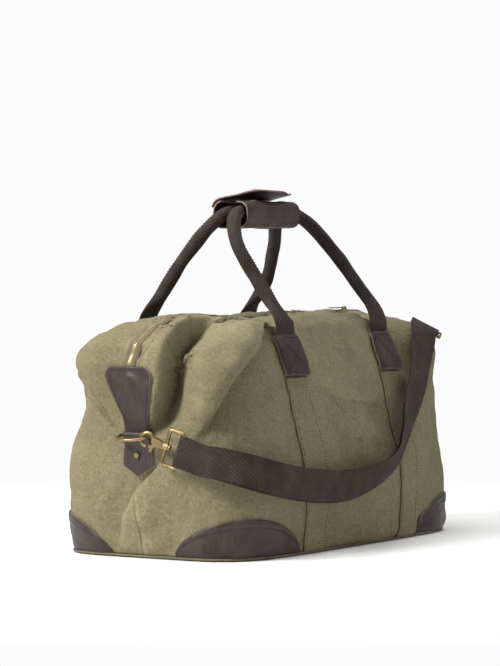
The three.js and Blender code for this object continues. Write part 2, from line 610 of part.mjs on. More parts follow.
function shoulderStrap() {
  const stations = strapStations();
  // How far each layer stands off the middle line: wide at the eyes and the adjuster, close between them.
  const near = (i, centre, steps) => Math.max(0, 1 - Math.abs(i - centre) / steps);
  const spread = (i) => {
    const eyes = STRAP.eyeTurn * Math.max(near(i, 0, EYE_STEPS), near(i, STRAP_STEPS, EYE_STEPS));
    return Math.max(STRAP.apart / 2, eyes, ADJUSTER.spread * near(i, ADJUSTER_AT, ADJUSTER.steps));
  };
  const layer = (i, share) => {
    const s = stations[i];
    const p = s.p.clone().addScaledVector(s.normal, share * spread(i));
    return { p, side: s.side.clone().multiplyScalar(STRAP.half), normal: s.normal.clone() };
  };
  // Half a turn round an eye's far bar, from the outer layer to the inner one or back.
  const turn = (i, away, outerFirst) =>
    [1, 2, 3, 4, 5].map((k) => {
      const s = stations[i];
      const angle = Math.PI * (outerFirst ? k / 6 : 1 - k / 6);
      const out = s.normal.clone().multiplyScalar(Math.cos(angle)).addScaledVector(s.t, away * Math.sin(angle));
      const p = s.p.clone().addScaledVector(out, STRAP.eyeTurn);
      return { p, side: s.side.clone().multiplyScalar(STRAP.half), normal: out };
    });
  const steps = (from, to) => Array.from({ length: Math.abs(to - from) + 1 }, (_, k) => from + Math.sign(to - from) * k);
  const flipped = (s) => ({ ...s, normal: s.normal.clone().negate() });
  const run = [
    ...steps(ADJUSTER_AT - 1, 0).map((i) => flipped(layer(i, -1))),
    ...turn(0, -1, false),
    ...steps(0, STRAP_STEPS).map((i) => layer(i, 1)),
    ...turn(STRAP_STEPS, 1, true),
    ...steps(STRAP_STEPS, STRAP_STEPS - SEWN_BACK).map((i) => flipped(layer(i, -1))),
  ];
  const fromSewnEnd = run.map(flipped).reverse();
  add("shoulder_strap", band(fromSewnEnd, -WEBBING / 2, WEBBING / 2), webbing);

  // A flat three-bar adjuster: the outer layer of webbing passes over its middle bar and under the other two.
  const s = stations[ADJUSTER_AT];
  const { wire, pitch, clear } = ADJUSTER;
  const at = (along, across, depth) =>
    s.p.clone().addScaledVector(s.t, along).addScaledVector(s.side, across).addScaledVector(s.normal, depth);
  const reach = STRAP.half + wire + 2 * clear;
  const outerBar = ADJUSTER.spread + WEBBING / 2 + wire + clear;
  const bars = [[-pitch, outerBar], [0, 0], [pitch, outerBar]];
  const across = bars.map(([along, depth]) => bar(at(along, -reach, depth), at(along, reach, depth), wire));
  const rails = [-reach, reach].flatMap((side) =>
    [0, 1].map((k) => bar(at(bars[k][0], side, bars[k][1]), at(bars[k + 1][0], side, bars[k + 1][1]), wire)),
  );
  add("strap_adjuster", join(...across, ...rails), brass);
}

bodyPanels();
base();
sewnStrips();
cornerPatches();
handles();
grip();
zip();
for (const end of ENDS) {
  endTab(end);
  chape(end);
  ring(end);
  clasp(end);
}
shoulderStrap();

export default bag;
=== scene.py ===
"""A washed canvas duffel bag with webbing handles, leather fittings and a clip-on strap.

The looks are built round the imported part, in its own frame and in metres.
The left end faces -X, the front faces -Y and the bag stands on z = 0.
"""

import math

import bpy
import numpy as np
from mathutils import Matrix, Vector
from mathutils.bvhtree import BVHTree


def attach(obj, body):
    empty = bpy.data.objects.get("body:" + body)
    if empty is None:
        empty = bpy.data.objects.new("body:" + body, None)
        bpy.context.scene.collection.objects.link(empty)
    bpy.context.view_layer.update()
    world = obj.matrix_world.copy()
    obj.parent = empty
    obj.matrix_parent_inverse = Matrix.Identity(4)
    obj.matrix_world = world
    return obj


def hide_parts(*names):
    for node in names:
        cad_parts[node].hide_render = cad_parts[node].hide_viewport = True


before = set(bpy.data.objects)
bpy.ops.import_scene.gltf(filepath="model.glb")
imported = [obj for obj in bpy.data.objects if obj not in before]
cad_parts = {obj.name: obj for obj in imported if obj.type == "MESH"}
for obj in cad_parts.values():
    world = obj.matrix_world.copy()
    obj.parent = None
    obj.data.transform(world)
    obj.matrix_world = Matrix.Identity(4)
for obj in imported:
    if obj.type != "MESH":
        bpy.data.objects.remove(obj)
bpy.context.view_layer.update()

MM = 0.001

# ---- driving dimensions ----
# The body's levels: height, half length, half depth and squareness of the outline, in mm.
LEVELS = [
    (1.2, 279.5, 140.5, 5.5),
    (3.4, 284, 145, 5.5),
    (60, 292, 148, 5.0),
    (110, 294, 144, 4.6),
    (150, 294, 136, 4.4),
    (200, 294, 124, 4.4),
    (236, 296, 114, 5.6),
    (264, 288, 104, 5.6),
    (284, 266, 90, 3.6),
    (293, 240, 66, 3.4),
    (296, 226, 12, 3.0),
    (296, 225.5, 1, 3.0),
]
SHOULDER_Z = 293 * MM
TOP_Z = 296 * MM
ROWS = 190
COLUMNS = 420
CANVAS = 2.6 * MM
THREAD = 1.5 * MM  # from one canvas thread to the next
LEATHER = 2.0 * MM
WEBBING = 1.8 * MM

HANDLE_X = 117.5 * MM
STRIP = {"half": 25 * MM, "bottom": 4 * MM, "top": 219 * MM, "lift": 0.9 * MM}
PATCH = {"half": 27.5 * MM, "bottom": 221 * MM, "top": 268 * MM, "lift": 3.2 * MM, "bulge": 3.4 * MM}
CORNER = {"half": 80 * MM, "height": 51 * MM, "lift": 0.5 * MM}
SLEEVE = {"radius": 8.5 * MM, "flat_half": 22 * MM, "flat_thin": 1.6 * MM, "foot": 60 * MM, "turn": 48 * MM}
GRIP = {"from": -85 * MM, "to": 45 * MM, "y": 25 * MM, "bottom": 407.5 * MM, "top": 441 * MM}
GRIP_ROUND = 12 * MM
FLAP = {"hinge_y": 20 * MM, "hinge_z": 443 * MM, "tip_y": -24 * MM, "rise": 13 * MM}
CAP = (5.2 * MM, 2.2 * MM)  # radius and height of a snap's cap
TAB = {"neck": 18.5 * MM, "flare": 37 * MM, "lift": 0.9 * MM, "lap": 9 * MM, "over_zip": 4.4 * MM}
CHAPE = {"half": 18.5 * MM, "length": 50 * MM, "back": 38 * MM, "point": 12 * MM, "thick": 1.7 * MM}
RING_OFF = 5.3 * MM  # the ring's bar stands this far off the end
STRAP = {"half": 19.5 * MM, "thick": 1.8 * MM, "apart": 1.7 * MM, "eye_turn": 3.8 * MM, "shift": 2.6 * MM}
ZIP = {"tape": 7.0 * MM, "pitch": 3.0 * MM, "groove": 3.2 * MM}

# The two ends: the tab from bottom to top, how far its top leans back, and the ring's height.
ENDS = {
    "left": {"side": -1, "tab": (159 * MM, 236 * MM), "lean": 15 * MM, "ring_z": 152 * MM},
    "right": {"side": 1, "tab": (212 * MM, 281 * MM), "lean": 0.0, "ring_z": 205 * MM},
}
# Each swivel hook's centre and the direction to its strap eye, and the far bar's distance along it.
HOOKS = {
    "left": (Vector((-0.31163, -0.02326, 0.14830)), Vector((0.1302, -0.9416, -0.3105))),
    "right": (Vector((0.312254, -0.0139584, 0.2245916)), Vector((0.1498, -0.7188, 0.6789))),
}
EYE_FAR = 46 * MM
CAST_SKIN = 0.5 * MM  # the cast hooks and eyes are this much fuller than their plain wires

# ---- the fabric's folds, in mm ----
# Each fold runs down a line. Its profile is pairs of distance to the line's left, seen from outside, and
# height; its lean is pairs of that distance and a shift to the left, which lets a crest hang over a hollow.
# Its strength runs from the line's top to its bottom.
FOLDS = [
    {  # the end stands forward beside the left tab and hangs over a dark valley
        "line": [
            (-205, -50, 295), (-236, -34, 291), (-264, -25, 283), (-284, -22, 264), (-293, -21, 236),
            (-293, -19, 205), (-293, -18, 172), (-293, -18, 150),
        ],
        "profile": [
            (-84, 0), (-60, -8), (-36, -24), (-16, -44), (-5, -52),
            (2, -40), (8, 2), (13, 7), (28, 5), (46, 0),
        ],
        "lean": [(-10, 0), (0, -10), (8, -21), (14, -22), (26, -13), (46, 0)],
        "strength": [0.15, 0.7, 1.0, 1.0, 1.0, 0.95, 0.6, 0.1],
    },
    {  # the crisp diagonal ridge over the front left corner
        "line": [(-152, -92, 289), (-200, -104, 262), (-259, -105, 228), (-280, -92, 185), (-288, -74, 145)],
        "profile": [
            (-90, 0), (-50, -8), (-24, -15), (-10, -17), (-2, 2), (5, 14), (16, 17), (34, 8), (52, 0),
        ],
        "lean": [(-14, 0), (-5, -6), (5, -12), (18, -8), (42, 0)],
        "strength": [0.2, 1.0, 1.0, 0.9, 0.0],
    },
    {  # the soft ridge from the rear waist to the ring
        "line": [(-250, 100, 222), (-280, 62, 186), (-294, 28, 152)],
        "profile": [(-30, 0), (-14, -5), (-4, 0), (6, 8), (16, 6), (36, 0)],
        "strength": [0.5, 1.0, 0.2],
    },
    {  # the fold that hangs below the chape
        "line": [(-288, -24, 112), (-291, 3, 83), (-291, 25, 50), (-288, 35, 18)],
        "profile": [(-52, 0), (-24, 8), (-7, 10), (0, -1), (5, -9), (15, -5), (32, 0)],
        "lean": [(-24, 0), (-8, 5), (0, 2), (6, 0)],
        "strength": [0.4, 1.0, 0.8, 0.2],
    },
    {  # a small crease near the base
        "line": [(-287, 38, 46), (-286, 30, 10)],
        "profile": [(-12, 0), (0, -3), (12, 0)],
        "strength": [0.3, 1.0],
    },
    {  # the front turns back sharply past the right handle and leaves a dark hollow
        "line": [(124, -80, 294), (138, -104, 268), (150, -116, 240), (166, -126, 208), (186, -134, 176)],
        "profile": [
            (-96, 0), (-64, -8), (-34, -20), (-12, -28), (-2, -27), (5, -8), (11, 4), (20, 4), (34, 0),
        ],
        "lean": [(-8, 0), (2, -5), (9, -8), (20, -4), (34, 0)],
        "strength": [0.5, 1.0, 1.0, 0.7, 0.0],
    },
    {  # the matching fold on the rear left
        "line": [(-170, 96, 287), (-214, 104, 258), (-252, 108, 220), (-272, 96, 178)],
        "profile": [(-44, 0), (-14, 6), (-2, 5), (8, -8), (30, -5), (52, 0)],
        "strength": [0.2, 1.0, 0.8, 0.0],
    },
    {  # and on the rear right
        "line": [(150, 98, 287), (200, 106, 256), (250, 104, 214), (276, 86, 170)],
        "profile": [(-52, 0), (-26, -6), (-6, -8), (3, 6), (14, 7), (44, 0)],
        "strength": [0.2, 1.0, 0.8, 0.0],
    },
    {  # the hollow beside the right tab
        "line": [(262, 48, 270), (284, 46, 232), (291, 36, 190), (292, 30, 150)],
        "profile": [(-30, 0), (-12, -10), (0, -15), (12, -10), (30, 0)],
        "strength": [0.7, 1.0, 0.6, 0.0],
    },
    {  # slack across the middle of the front
        "line": [(-88, -124, 214), (-20, -132, 186), (60, -134, 180), (96, -128, 200)],
        "profile": [(-40, 0), (-14, 2.4), (0, 2.8), (14, -1.5), (40, 0)],
        "strength": [0.2, 1.0, 1.0, 0.2],
    },
    {  # and of the back
        "line": [(90, 122, 214), (20, 132, 180), (-60, 134, 174), (-96, 128, 204)],
        "profile": [(-40, 0), (-14, 2.4), (0, 2.8), (14, -1.5), (40, 0)],
        "strength": [0.2, 1.0, 1.0, 0.2],
    },
]
# Round swellings and hollows: centre, radius and height.
SWELLS = [
    ((-255, 108, 238), 30, 14),
    ((-266, 114, 203), 24, -12),
    ((-288, 100, 130), 58, 5),
    ((-255, -100, 244), 26, 4),
    ((270, -92, 250), 34, 10),
    ((230, -120, 190), 52, 5),
    ((262, 98, 250), 32, 7),
    ((-78, 0, 296), 58, -5),
    ((172, 0, 296), 34, -3),
    ((-117, -126, 196), 34, -3.5),
    ((-117, -146, 95), 42, 3),
    ((117, -126, 196), 34, -3.5),
    ((117, -146, 95), 42, 3),
    ((0, -146, 80), 110, 4),
    ((0, 146, 80), 130, 5),
    ((-117, 126, 196), 34, -3),
    ((117, 126, 196), 34, -3),
]
# The cloth lies still where hardware is sewn to it: centre and radius.
CALM = [
    ((-294, 0, 128), 34),
    ((294, 0, 180), 34),
    ((-296, 12, 236), 22),
    ((270, 0, 281), 22),
    ((-117.5, -108, 250), 26),
    ((117.5, -108, 250), 26),
    ((-117.5, 108, 250), 26),
    ((117.5, 108, 250), 26),
    ((206, 0, 296), 26),
]

# ---- routes of the soft lines, in mm ----
HANDLE_ROUTES = {
    "front": [
        (-117.5, None, 226), (-117.5, None, 250), (-119, -104.5, 270), (-121, -103, 288), (-121, -84, 312),
        (-126, -62, 346), (-133, -43, 382), (-119, -26, 411), (-92, -14, 425), (-62, -11.5, 429),
        (20, -11.5, 429), (48, -15, 426), (72, -27, 411), (94, -50, 375), (110, -75, 334),
        (119, -97, 300), (120, -103, 284), (118, -104.5, 270), (117.5, None, 250), (117.5, None, 226),
    ],
    "rear": [
        (-117.5, None, 226), (-117.5, None, 250), (-119, 104.5, 270), (-126, 101, 288), (-122, 80, 322),
        (-113, 58, 360), (-101, 25, 405), (-87, 12.5, 422), (-62, 11.5, 429), (20, 11.5, 429),
        (47, 13.5, 425), (70, 27, 408), (98, 48, 374), (116, 70, 336), (121, 96, 302),
        (120, 103, 284), (118, 104.5, 270), (117.5, None, 250), (117.5, None, 226),
    ],
}
FOOT_OFF = 4.2 * MM  # a foot's middle stands this far off the canvas
# Points of the strap between its two eyes, each with the direction of its upper edge.
STRAP_ROUTE = [
    ((-302, -98, 124), (0.03, -0.25, 0.97)),
    ((-299, -118, 121), (0.05, -0.15, 0.98)),
    ((-282, -146, 112), (0.1, -0.05, 1)),
    ((-250, -163, 102), (0.1, 0, 1)),
    ((-193, -169, 91), (0.06, 0, 1)),
    ((-120, -169, 83), (0, 0, 1)),
    ((-66, -169, 82), (-0.12, -0.15, 0.98)),
    ((-20, -169, 86), (-0.35, -0.35, 0.87)),
    ((30, -167, 97), (-0.6, -0.45, 0.65)),
    ((66, -163, 113), (-0.78, -0.4, 0.45)),
    ((92, -158, 138), (-0.88, -0.3, 0.3)),
    ((120, -150, 166), (-0.92, -0.1, 0.3)),
    ((152, -141, 190), (-0.88, 0.05, 0.4)),
    ((181, -131, 214), (-0.85, 0.15, 0.45)),
    ((205, -121, 237), (-0.8, 0.3, 0.45)),
    ((228, -112, 259), (-0.7, 0.45, 0.45)),
    ((252, -99, 275), (-0.62, 0.6, 0.42)),
    ((284, -86, 273), (-0.75, 0.5, 0.45)),
]
EYE_UP = {"left": (0.04, -0.31, 0.95), "right": (-1, 0, 0.2)}
EYE_LEADS = (7 * MM, 14 * MM)
STRAP_STEPS = 336
ADJUSTER_AT = 77 / 84
SEWN_BACK = 4 / 84

PALE = (0.97, 0.97, 0.975)  # the backdrop
SKY_LIGHT = 0.42  # how much of the backdrop's brightness lights the bag

FACES = (("front", -1), ("back", 1))
HANDS = (("left", -1), ("right", 1))
END_HARDWARE = ("chape_rivet", "d_ring", "hook", "hook_lever", "lever_pin", "swivel_eye")
HARDWARE = [f"{hand}_{part}" for part in END_HARDWARE for hand, _ in HANDS]
HARDWARE += ["strap_adjuster", "snap_stud_left", "snap_stud_right", "zip_slider", "zip_pull"]
CREASE = math.radians(42)  # metal edges sharper than this stay crisp

# The camera: its place, how far it is turned from +Y towards +X and tilted down, in degrees, and its lens.
CAMERA = {"place": (-3.40555, -2.09269, 0.38047), "turn": 58.1500, "down": 1.5800, "lens": 165.35}


WAVE_UNIT = 0.314159  # a wave texture of this scale repeats once a metre

# ---- materials ----
def node(tree, kind, inputs=None, **settings):
    made = tree.nodes.new(kind)
    for key, value in settings.items():
        setattr(made, key, value)
    for key, value in (inputs or {}).items():
        if isinstance(value, bpy.types.NodeSocket):
            tree.links.new(value, made.inputs[key])
        else:
            made.inputs[key].default_value = value
    return made


def material(name):
    made = bpy.data.materials.new(name)
    made.use_nodes = True
    return made, made.node_tree, made.node_tree.nodes["Principled BSDF"]


def finished(shader, **values):
    """Sets the shader's plain sockets, named with underscores for spaces."""
    for key, value in values.items():
        shader.inputs[key.replace("_", " ")].default_value = value


def maths(tree, operation, first, second=0.0):
    return node(tree, "ShaderNodeMath", {0: first, 1: second}, operation=operation).outputs[0]


def noise(tree, where, scale, detail=3.0, rough=0.55):
    inputs = {"Vector": where, "Scale": scale, "Detail": detail, "Roughness": rough}
    return node(tree, "ShaderNodeTexNoise", inputs).outputs[0]


def stretched(tree, where, scale):
    return node(tree, "ShaderNodeMapping", {"Vector": where, "Scale": scale}).outputs[0]


def threads(tree, where, axis, pitch, wander):
    """Light and dark bands one thread apart."""
    inputs = {"Vector": where, "Scale": WAVE_UNIT / pitch, "Distortion": wander}
    inputs |= {"Detail": 1.0, "Detail Scale": 2.0}
    return node(tree, "ShaderNodeTexWave", inputs, bands_direction=axis).outputs["Fac"]


def ranged(tree, value, low, high, to_low, to_high):
    inputs = {0: value, 1: low, 2: high, 3: to_low, 4: to_high}
    return node(tree, "ShaderNodeMapRange", inputs).outputs[0]


def mixed(tree, share, first, second):
    mix = node(tree, "ShaderNodeMix", data_type="RGBA")
    for socket, value in ((mix.inputs[0], share), (mix.inputs[6], first), (mix.inputs[7], second)):
        if isinstance(value, bpy.types.NodeSocket):
            tree.links.new(value, socket)
        else:
            socket.default_value = value
    return mix.outputs[2]


def darkened(tree, colour, value):
    """The colour multiplied by a grey value."""
    grey = node(tree, "ShaderNodeCombineColor", {0: value, 1: value, 2: value}).outputs[0]
    mix = node(tree, "ShaderNodeMix", data_type="RGBA", blend_type="MULTIPLY")
    mix.inputs[0].default_value = 1.0
    tree.links.new(colour, mix.inputs[6])
    tree.links.new(grey, mix.inputs[7])
    return mix.outputs[2]


def bumped(tree, shader, height, distance, strength=1.0):
    inputs = {"Height": height, "Distance": distance, "Strength": strength}
    tree.links.new(node(tree, "ShaderNodeBump", inputs).outputs[0], shader.inputs["Normal"])


def canvas_material():
    """Washed olive canvas: a plain weave with slubs, faded by wear on its ridges, with painted shade
    darkening its hollows.
    """
    made, tree, shader = material("washed_canvas")
    where = node(tree, "ShaderNodeTexCoord")
    uv, place = where.outputs["UV"], where.outputs["Object"]
    warp = threads(tree, uv, "X", THREAD, 0.6)
    weft = threads(tree, uv, "Y", THREAD, 0.6)
    over = maths(tree, "MULTIPLY", maths(tree, "SUBTRACT", warp, 0.5), maths(tree, "SUBTRACT", weft, 0.5))
    weave = maths(tree, "ADD", maths(tree, "MULTIPLY", over, 2.0), 0.5)
    slub_up = noise(tree, stretched(tree, uv, (900, 90, 1)), 1.0, 2.0)
    slub_across = noise(tree, stretched(tree, uv, (90, 900, 1)), 1.0, 2.0)
    slubs = maths(tree, "ADD", slub_up, slub_across)
    cloud = noise(tree, place, 9.0, 4.0)
    fleck = noise(tree, place, 330.0, 4.0, 0.7)
    fade = ranged(tree, cloud, 0.35, 0.68, 0.0, 1.0)
    base = mixed(tree, fade, (0.172, 0.148, 0.084, 1), (0.222, 0.193, 0.114, 1))
    tone = ranged(tree, slubs, 0.7, 1.3, 0.88, 1.12)
    tone = maths(tree, "MULTIPLY", tone, ranged(tree, fleck, 0.3, 0.7, 0.72, 1.28))
    tone = maths(tree, "MULTIPLY", tone, ranged(tree, weave, 0.2, 0.8, 0.84, 1.14))
    # Pointiness: the ridges get lighter where the cloth is worn, and the hollows get darker as painted shade.
    curvature = node(tree, "ShaderNodeNewGeometry").outputs["Pointiness"]
    tone = maths(tree, "MULTIPLY", tone, ranged(tree, curvature, 0.46, 0.54, 0.86, 1.16))
    tree.links.new(darkened(tree, base, tone), shader.inputs["Base Color"])
    finished(shader, Roughness=0.92, Specular_IOR_Level=0.12, Sheen_Weight=0.05, Sheen_Roughness=0.5)
    height = maths(tree, "ADD", weave, maths(tree, "MULTIPLY", fleck, 1.6))
    bumped(tree, shader, height, 0.5 * MM, 0.8)
    return made


def leather_material(name, dark, light, rough):
    """Smooth full-grain leather with pores, faint scuffs and a soft sheen."""
    made, tree, shader = material(name)
    place = node(tree, "ShaderNodeTexCoord").outputs["Object"]
    cloud = noise(tree, place, 28.0, 4.0)
    scuff = noise(tree, stretched(tree, place, (60, 260, 60)), 1.0, 5.0, 0.7)
    share = ranged(tree, maths(tree, "ADD", cloud, scuff), 0.8, 1.25, 0.0, 1.0)
    curvature = node(tree, "ShaderNodeNewGeometry").outputs["Pointiness"]
    colour = mixed(tree, share, dark, light)
    # Pointiness: the ridges and edges get lighter, partly as rubbed wear and partly as a painted highlight,
    # and the hollows get darker as painted shade.
    tone = ranged(tree, curvature, 0.46, 0.56, 0.85, 1.45)
    tree.links.new(darkened(tree, colour, tone), shader.inputs["Base Color"])
    tree.links.new(ranged(tree, scuff, 0.3, 0.7, rough - 0.08, rough + 0.12), shader.inputs["Roughness"])
    finished(shader, Specular_IOR_Level=0.32)
    pores = node(tree, "ShaderNodeTexVoronoi", {"Vector": place, "Scale": 900.0}).outputs["Distance"]
    height = maths(tree, "ADD", maths(tree, "MULTIPLY", pores, 0.7), noise(tree, place, 320.0, 3.0))
    bumped(tree, shader, height, 0.25 * MM, 0.7)
    return made


def webbing_material():
    """Dark brown cotton webbing: a herringbone of fine ribs along its length."""
    made, tree, shader = material("brown_webbing")
    where = node(tree, "ShaderNodeTexCoord")
    uv, place = where.outputs["UV"], where.outputs["Object"]
    ribs = threads(tree, uv, "X", 2.0 * MM, 0.4)
    picks = threads(tree, uv, "Y", 1.1 * MM, 0.8)
    twill = threads(tree, stretched(tree, uv, (1, 0.6, 1)), "DIAGONAL", 2.3 * MM, 0.5)
    body = maths(tree, "ADD", maths(tree, "MULTIPLY", ribs, 0.6), maths(tree, "MULTIPLY", twill, 0.5))
    height = maths(tree, "ADD", body, maths(tree, "MULTIPLY", picks, 0.4))
    cloud = noise(tree, place, 40.0, 4.0)
    fuzz = noise(tree, place, 700.0, 2.0)
    share = ranged(tree, maths(tree, "ADD", cloud, fuzz), 0.75, 1.25, 0.0, 1.0)
    colour = mixed(tree, share, (0.022, 0.015, 0.012, 1), (0.048, 0.035, 0.029, 1))
    tone = ranged(tree, height, 0.2, 1.2, 0.5, 1.5)
    tree.links.new(darkened(tree, colour, tone), shader.inputs["Base Color"])
    finished(shader, Roughness=0.8, Specular_IOR_Level=0.12, Sheen_Weight=0.04)
    bumped(tree, shader, height, 0.5 * MM, 0.9)
    return made


def brass_material(name, bright, dull):
    """Cast antique brass, browned in its hollows and rubbed on its edges."""
    made, tree, shader = material(name)
    place = node(tree, "ShaderNodeTexCoord").outputs["Object"]
    patina = noise(tree, place, 130.0, 5.0, 0.65)
    curvature = node(tree, "ShaderNodeNewGeometry").outputs["Pointiness"]
    clean, rubbed = ranged(tree, patina, 0.35, 0.65, 0.0, 0.8), ranged(tree, curvature, 0.5, 0.6, 0.0, 0.5)
    share = maths(tree, "ADD", clean, rubbed)
    tree.links.new(mixed(tree, share, dull, bright), shader.inputs["Base Color"])
    finished(shader, Metallic=1.0)
    tree.links.new(ranged(tree, patina, 0.3, 0.7, 0.48, 0.26), shader.inputs["Roughness"])
    bumped(tree, shader, noise(tree, place, 520.0, 4.0), 0.12 * MM, 0.5)
    return made


def cloth_material(name, dark, light, pitch):
    """A plain fine-woven cloth or twisted thread."""
    made, tree, shader = material(name)
    where = node(tree, "ShaderNodeTexCoord")
    twist = threads(tree, where.outputs["UV"], "DIAGONAL", pitch, 0.4)
    fuzz = noise(tree, where.outputs["Object"], 420.0, 3.0)
    share = maths(tree, "ADD", maths(tree, "MULTIPLY", twist, 0.5), maths(tree, "MULTIPLY", fuzz, 0.5))
    tree.links.new(mixed(tree, share, dark, light), shader.inputs["Base Color"])
    finished(shader, Roughness=0.85)
    bumped(tree, shader, twist, 0.2 * MM, 0.6)
    return made


def floor_material():
    """A pale floor that takes the bag's shadow and runs into the bright backdrop further out."""
    made, tree, shader = material("pale_floor")
    place = node(tree, "ShaderNodeTexCoord").outputs["Object"]
    share = noise(tree, place, 3.0, 2.0)
    colour = mixed(tree, share, (0.84, 0.84, 0.83, 1), (0.88, 0.88, 0.87, 1))
    tree.links.new(colour, shader.inputs["Base Color"])
    finished(shader, Roughness=0.7)
    away = node(tree, "ShaderNodeVectorMath", {0: place}, operation="LENGTH").outputs["Value"]
    glow = node(tree, "ShaderNodeEmission", {"Color": (*PALE, 1)}).outputs[0]
    faded = node(tree, "ShaderNodeMixShader", {0: ranged(tree, away, 0.45, 1.1, 0, 1)})
    tree.links.new(shader.outputs[0], faded.inputs[1])
    tree.links.new(glow, faded.inputs[2])
    tree.links.new(faded.outputs[0], tree.nodes["Material Output"].inputs["Surface"])
    return made


CANVAS_LOOK = canvas_material()
LEATHER_LOOK = leather_material("brown_leather", (0.022, 0.013, 0.012, 1), (0.044, 0.029, 0.027, 1), 0.44)
RAW_EDGE = leather_material("raw_leather_edge", (0.10, 0.068, 0.058, 1), (0.19, 0.135, 0.118, 1), 0.75)
WEBBING_LOOK = webbing_material()
BRASS_LOOK = brass_material("antique_brass", (0.36, 0.27, 0.13, 1), (0.13, 0.095, 0.05, 1))
TEETH_LOOK = brass_material("zip_brass", (0.62, 0.47, 0.24, 1), (0.26, 0.18, 0.08, 1))
TAPE_LOOK = cloth_material("zip_tape_cloth", (0.085, 0.068, 0.042, 1), (0.15, 0.12, 0.075, 1), 0.9 * MM)
THREAD_LOOK = cloth_material("brown_thread", (0.010, 0.007, 0.006, 1), (0.030, 0.022, 0.018, 1), 0.5 * MM)


# ---- meshes from grids of points ----
def normals_of(grid):
    """Unit normals of a grid of points, from its own slopes."""
    normals = np.cross(np.gradient(grid, axis=1), np.gradient(grid, axis=0))
    return normals / np.maximum(np.linalg.norm(normals, axis=2, keepdims=True), 1e-9)


def run_along(points):
    """How far along a line of points each of them lies."""
    steps = np.linalg.norm(np.diff(points, axis=0), axis=1)
    return np.concatenate([[0.0], np.cumsum(steps)])


def looked_up(wanted, run, table):
    """The rows of a table read at the wanted distances along its run."""
    return np.stack([np.interp(wanted, run, table[:, c]) for c in range(table.shape[1])], axis=-1)


def evenly(points, count):
    run = run_along(points)
    return looked_up(np.linspace(0, run[-1], count), run, points)


def squared_off(wave, squareness):
    """A cosine or sine drawn out to a superellipse."""
    return np.sign(wave) * np.abs(wave) ** (2 / squareness)


def tube_faces(first, rings, sides):
    """Quads between rings of vertices, with both end rings closed."""
    faces = []
    for i in range(rings - 1):
        for j in range(sides):
            near, beside_it = first + i * sides + j, first + i * sides + (j + 1) % sides
            faces.append((near, beside_it, beside_it + sides, near + sides))
    faces.append(tuple(first + j for j in reversed(range(sides))))
    faces.append(tuple(first + (rings - 1) * sides + j for j in range(sides)))
    return faces


def lengths_along(grid, axis):
    """The mean distance along the rows or the columns of a grid, from its first line."""
    steps = np.linalg.norm(np.diff(grid, axis=axis), axis=2).mean(axis=1 - axis)
    return np.concatenate([[0.0], np.cumsum(steps)])


def mesh_of(name, grid, look, wrap=False, caps=False):
    """A mesh of quads over a grid. wrap joins the last column to the first; caps closes both ends."""
    rows, columns, _ = grid.shape
    looped = np.concatenate([grid, grid[:, :1]], axis=1) if wrap else grid
    across, up = lengths_along(looped, 1), lengths_along(looped, 0)
    i, j = np.meshgrid(np.arange(rows - 1), np.arange(looped.shape[1] - 1), indexing="ij")
    i, j = i.ravel(), j.ravel()
    right = (j + 1) % columns
    row, next_row = i * columns, (i + 1) * columns
    quads = np.stack([row + j, row + right, next_row + right, next_row + j], 1)
    x0, x1, y0, y1 = across[j], across[j + 1], up[i], up[i + 1]
    corners = np.stack([x0, y0, x1, y0, x1, y1, x0, y1], 1)
    faces = quads.tolist()
    uvs = corners.reshape(-1, 2)
    if caps:
        last = (rows - 1) * columns
        faces += [list(range(columns))[::-1], list(range(last, last + columns))]
        uvs = np.vstack([uvs, np.zeros((2 * columns, 2))])
    mesh = bpy.data.meshes.new(name)
    mesh.from_pydata(grid.reshape(-1, 3).tolist(), [], faces)
    mesh.uv_layers.new(name="UVMap").uv.foreach_set("vector", uvs.ravel())
    return placed(name, mesh, look)


def placed(name, mesh, look):
    mesh.materials.append(look)
    mesh.polygons.foreach_set("use_smooth", [True] * len(mesh.polygons))
    mesh.update()
    made = bpy.data.objects.new(name, mesh)
    bpy.context.scene.collection.objects.link(made)
    return made


def thickened(piece, thickness, offset, rim=None):
    """Gives a sheet its thickness, outward for offset 1 and inward for -1."""
    solid = piece.modifiers.new("thickness", "SOLIDIFY")
    solid.thickness = thickness
    solid.offset = offset
    if rim:
        piece.data.materials.append(rim)
        solid.material_offset_rim = 1
    return piece


def belongs(piece, body, slot, *nodes):
    """Says which body a piece rides on and hides the CAD nodes it stands for. The slot argument is not used.
    """
    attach(piece, body)
    if nodes:
        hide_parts(*nodes)
    return piece


def curve_through(knots, steps):
    """Points evenly spaced along a smooth curve through knots, and how far along the knots each lies."""
    knots = np.array(knots, dtype=float)
    padded = np.vstack([2 * knots[0] - knots[1], knots, 2 * knots[-1] - knots[-2]])
    s = np.linspace(0, 1, 40, endpoint=False)[:, None]
    fine, at = [], []
    for k in range(len(knots) - 1):
        p0, p1, p2, p3 = padded[k : k + 4]
        d0, d1, d2 = (max(np.linalg.norm(q - p) ** 0.5, 1e-6) for p, q in ((p0, p1), (p1, p2), (p2, p3)))
        m1 = d1 * ((p1 - p0) / d0 - (p2 - p0) / (d0 + d1) + (p2 - p1) / d1)
        m2 = d1 * ((p2 - p1) / d1 - (p3 - p1) / (d1 + d2) + (p3 - p2) / d2)
        bend = (2 * p1 - 2 * p2 + m1 + m2) * s**3 + (3 * p2 - 3 * p1 - 2 * m1 - m2) * s**2
        fine.append(bend + m1 * s + p1)
        at.append(k + s[:, 0])
    fine = np.vstack([*fine, knots[-1:]])
    at = np.concatenate([*at, [len(knots) - 1]])
    run = run_along(fine)
    wanted = np.linspace(0, run[-1], steps + 1)
    return looked_up(wanted, run, fine), np.interp(wanted, run, at)


def unit(vectors):
    return vectors / np.maximum(np.linalg.norm(vectors, axis=-1, keepdims=True), 1e-9)


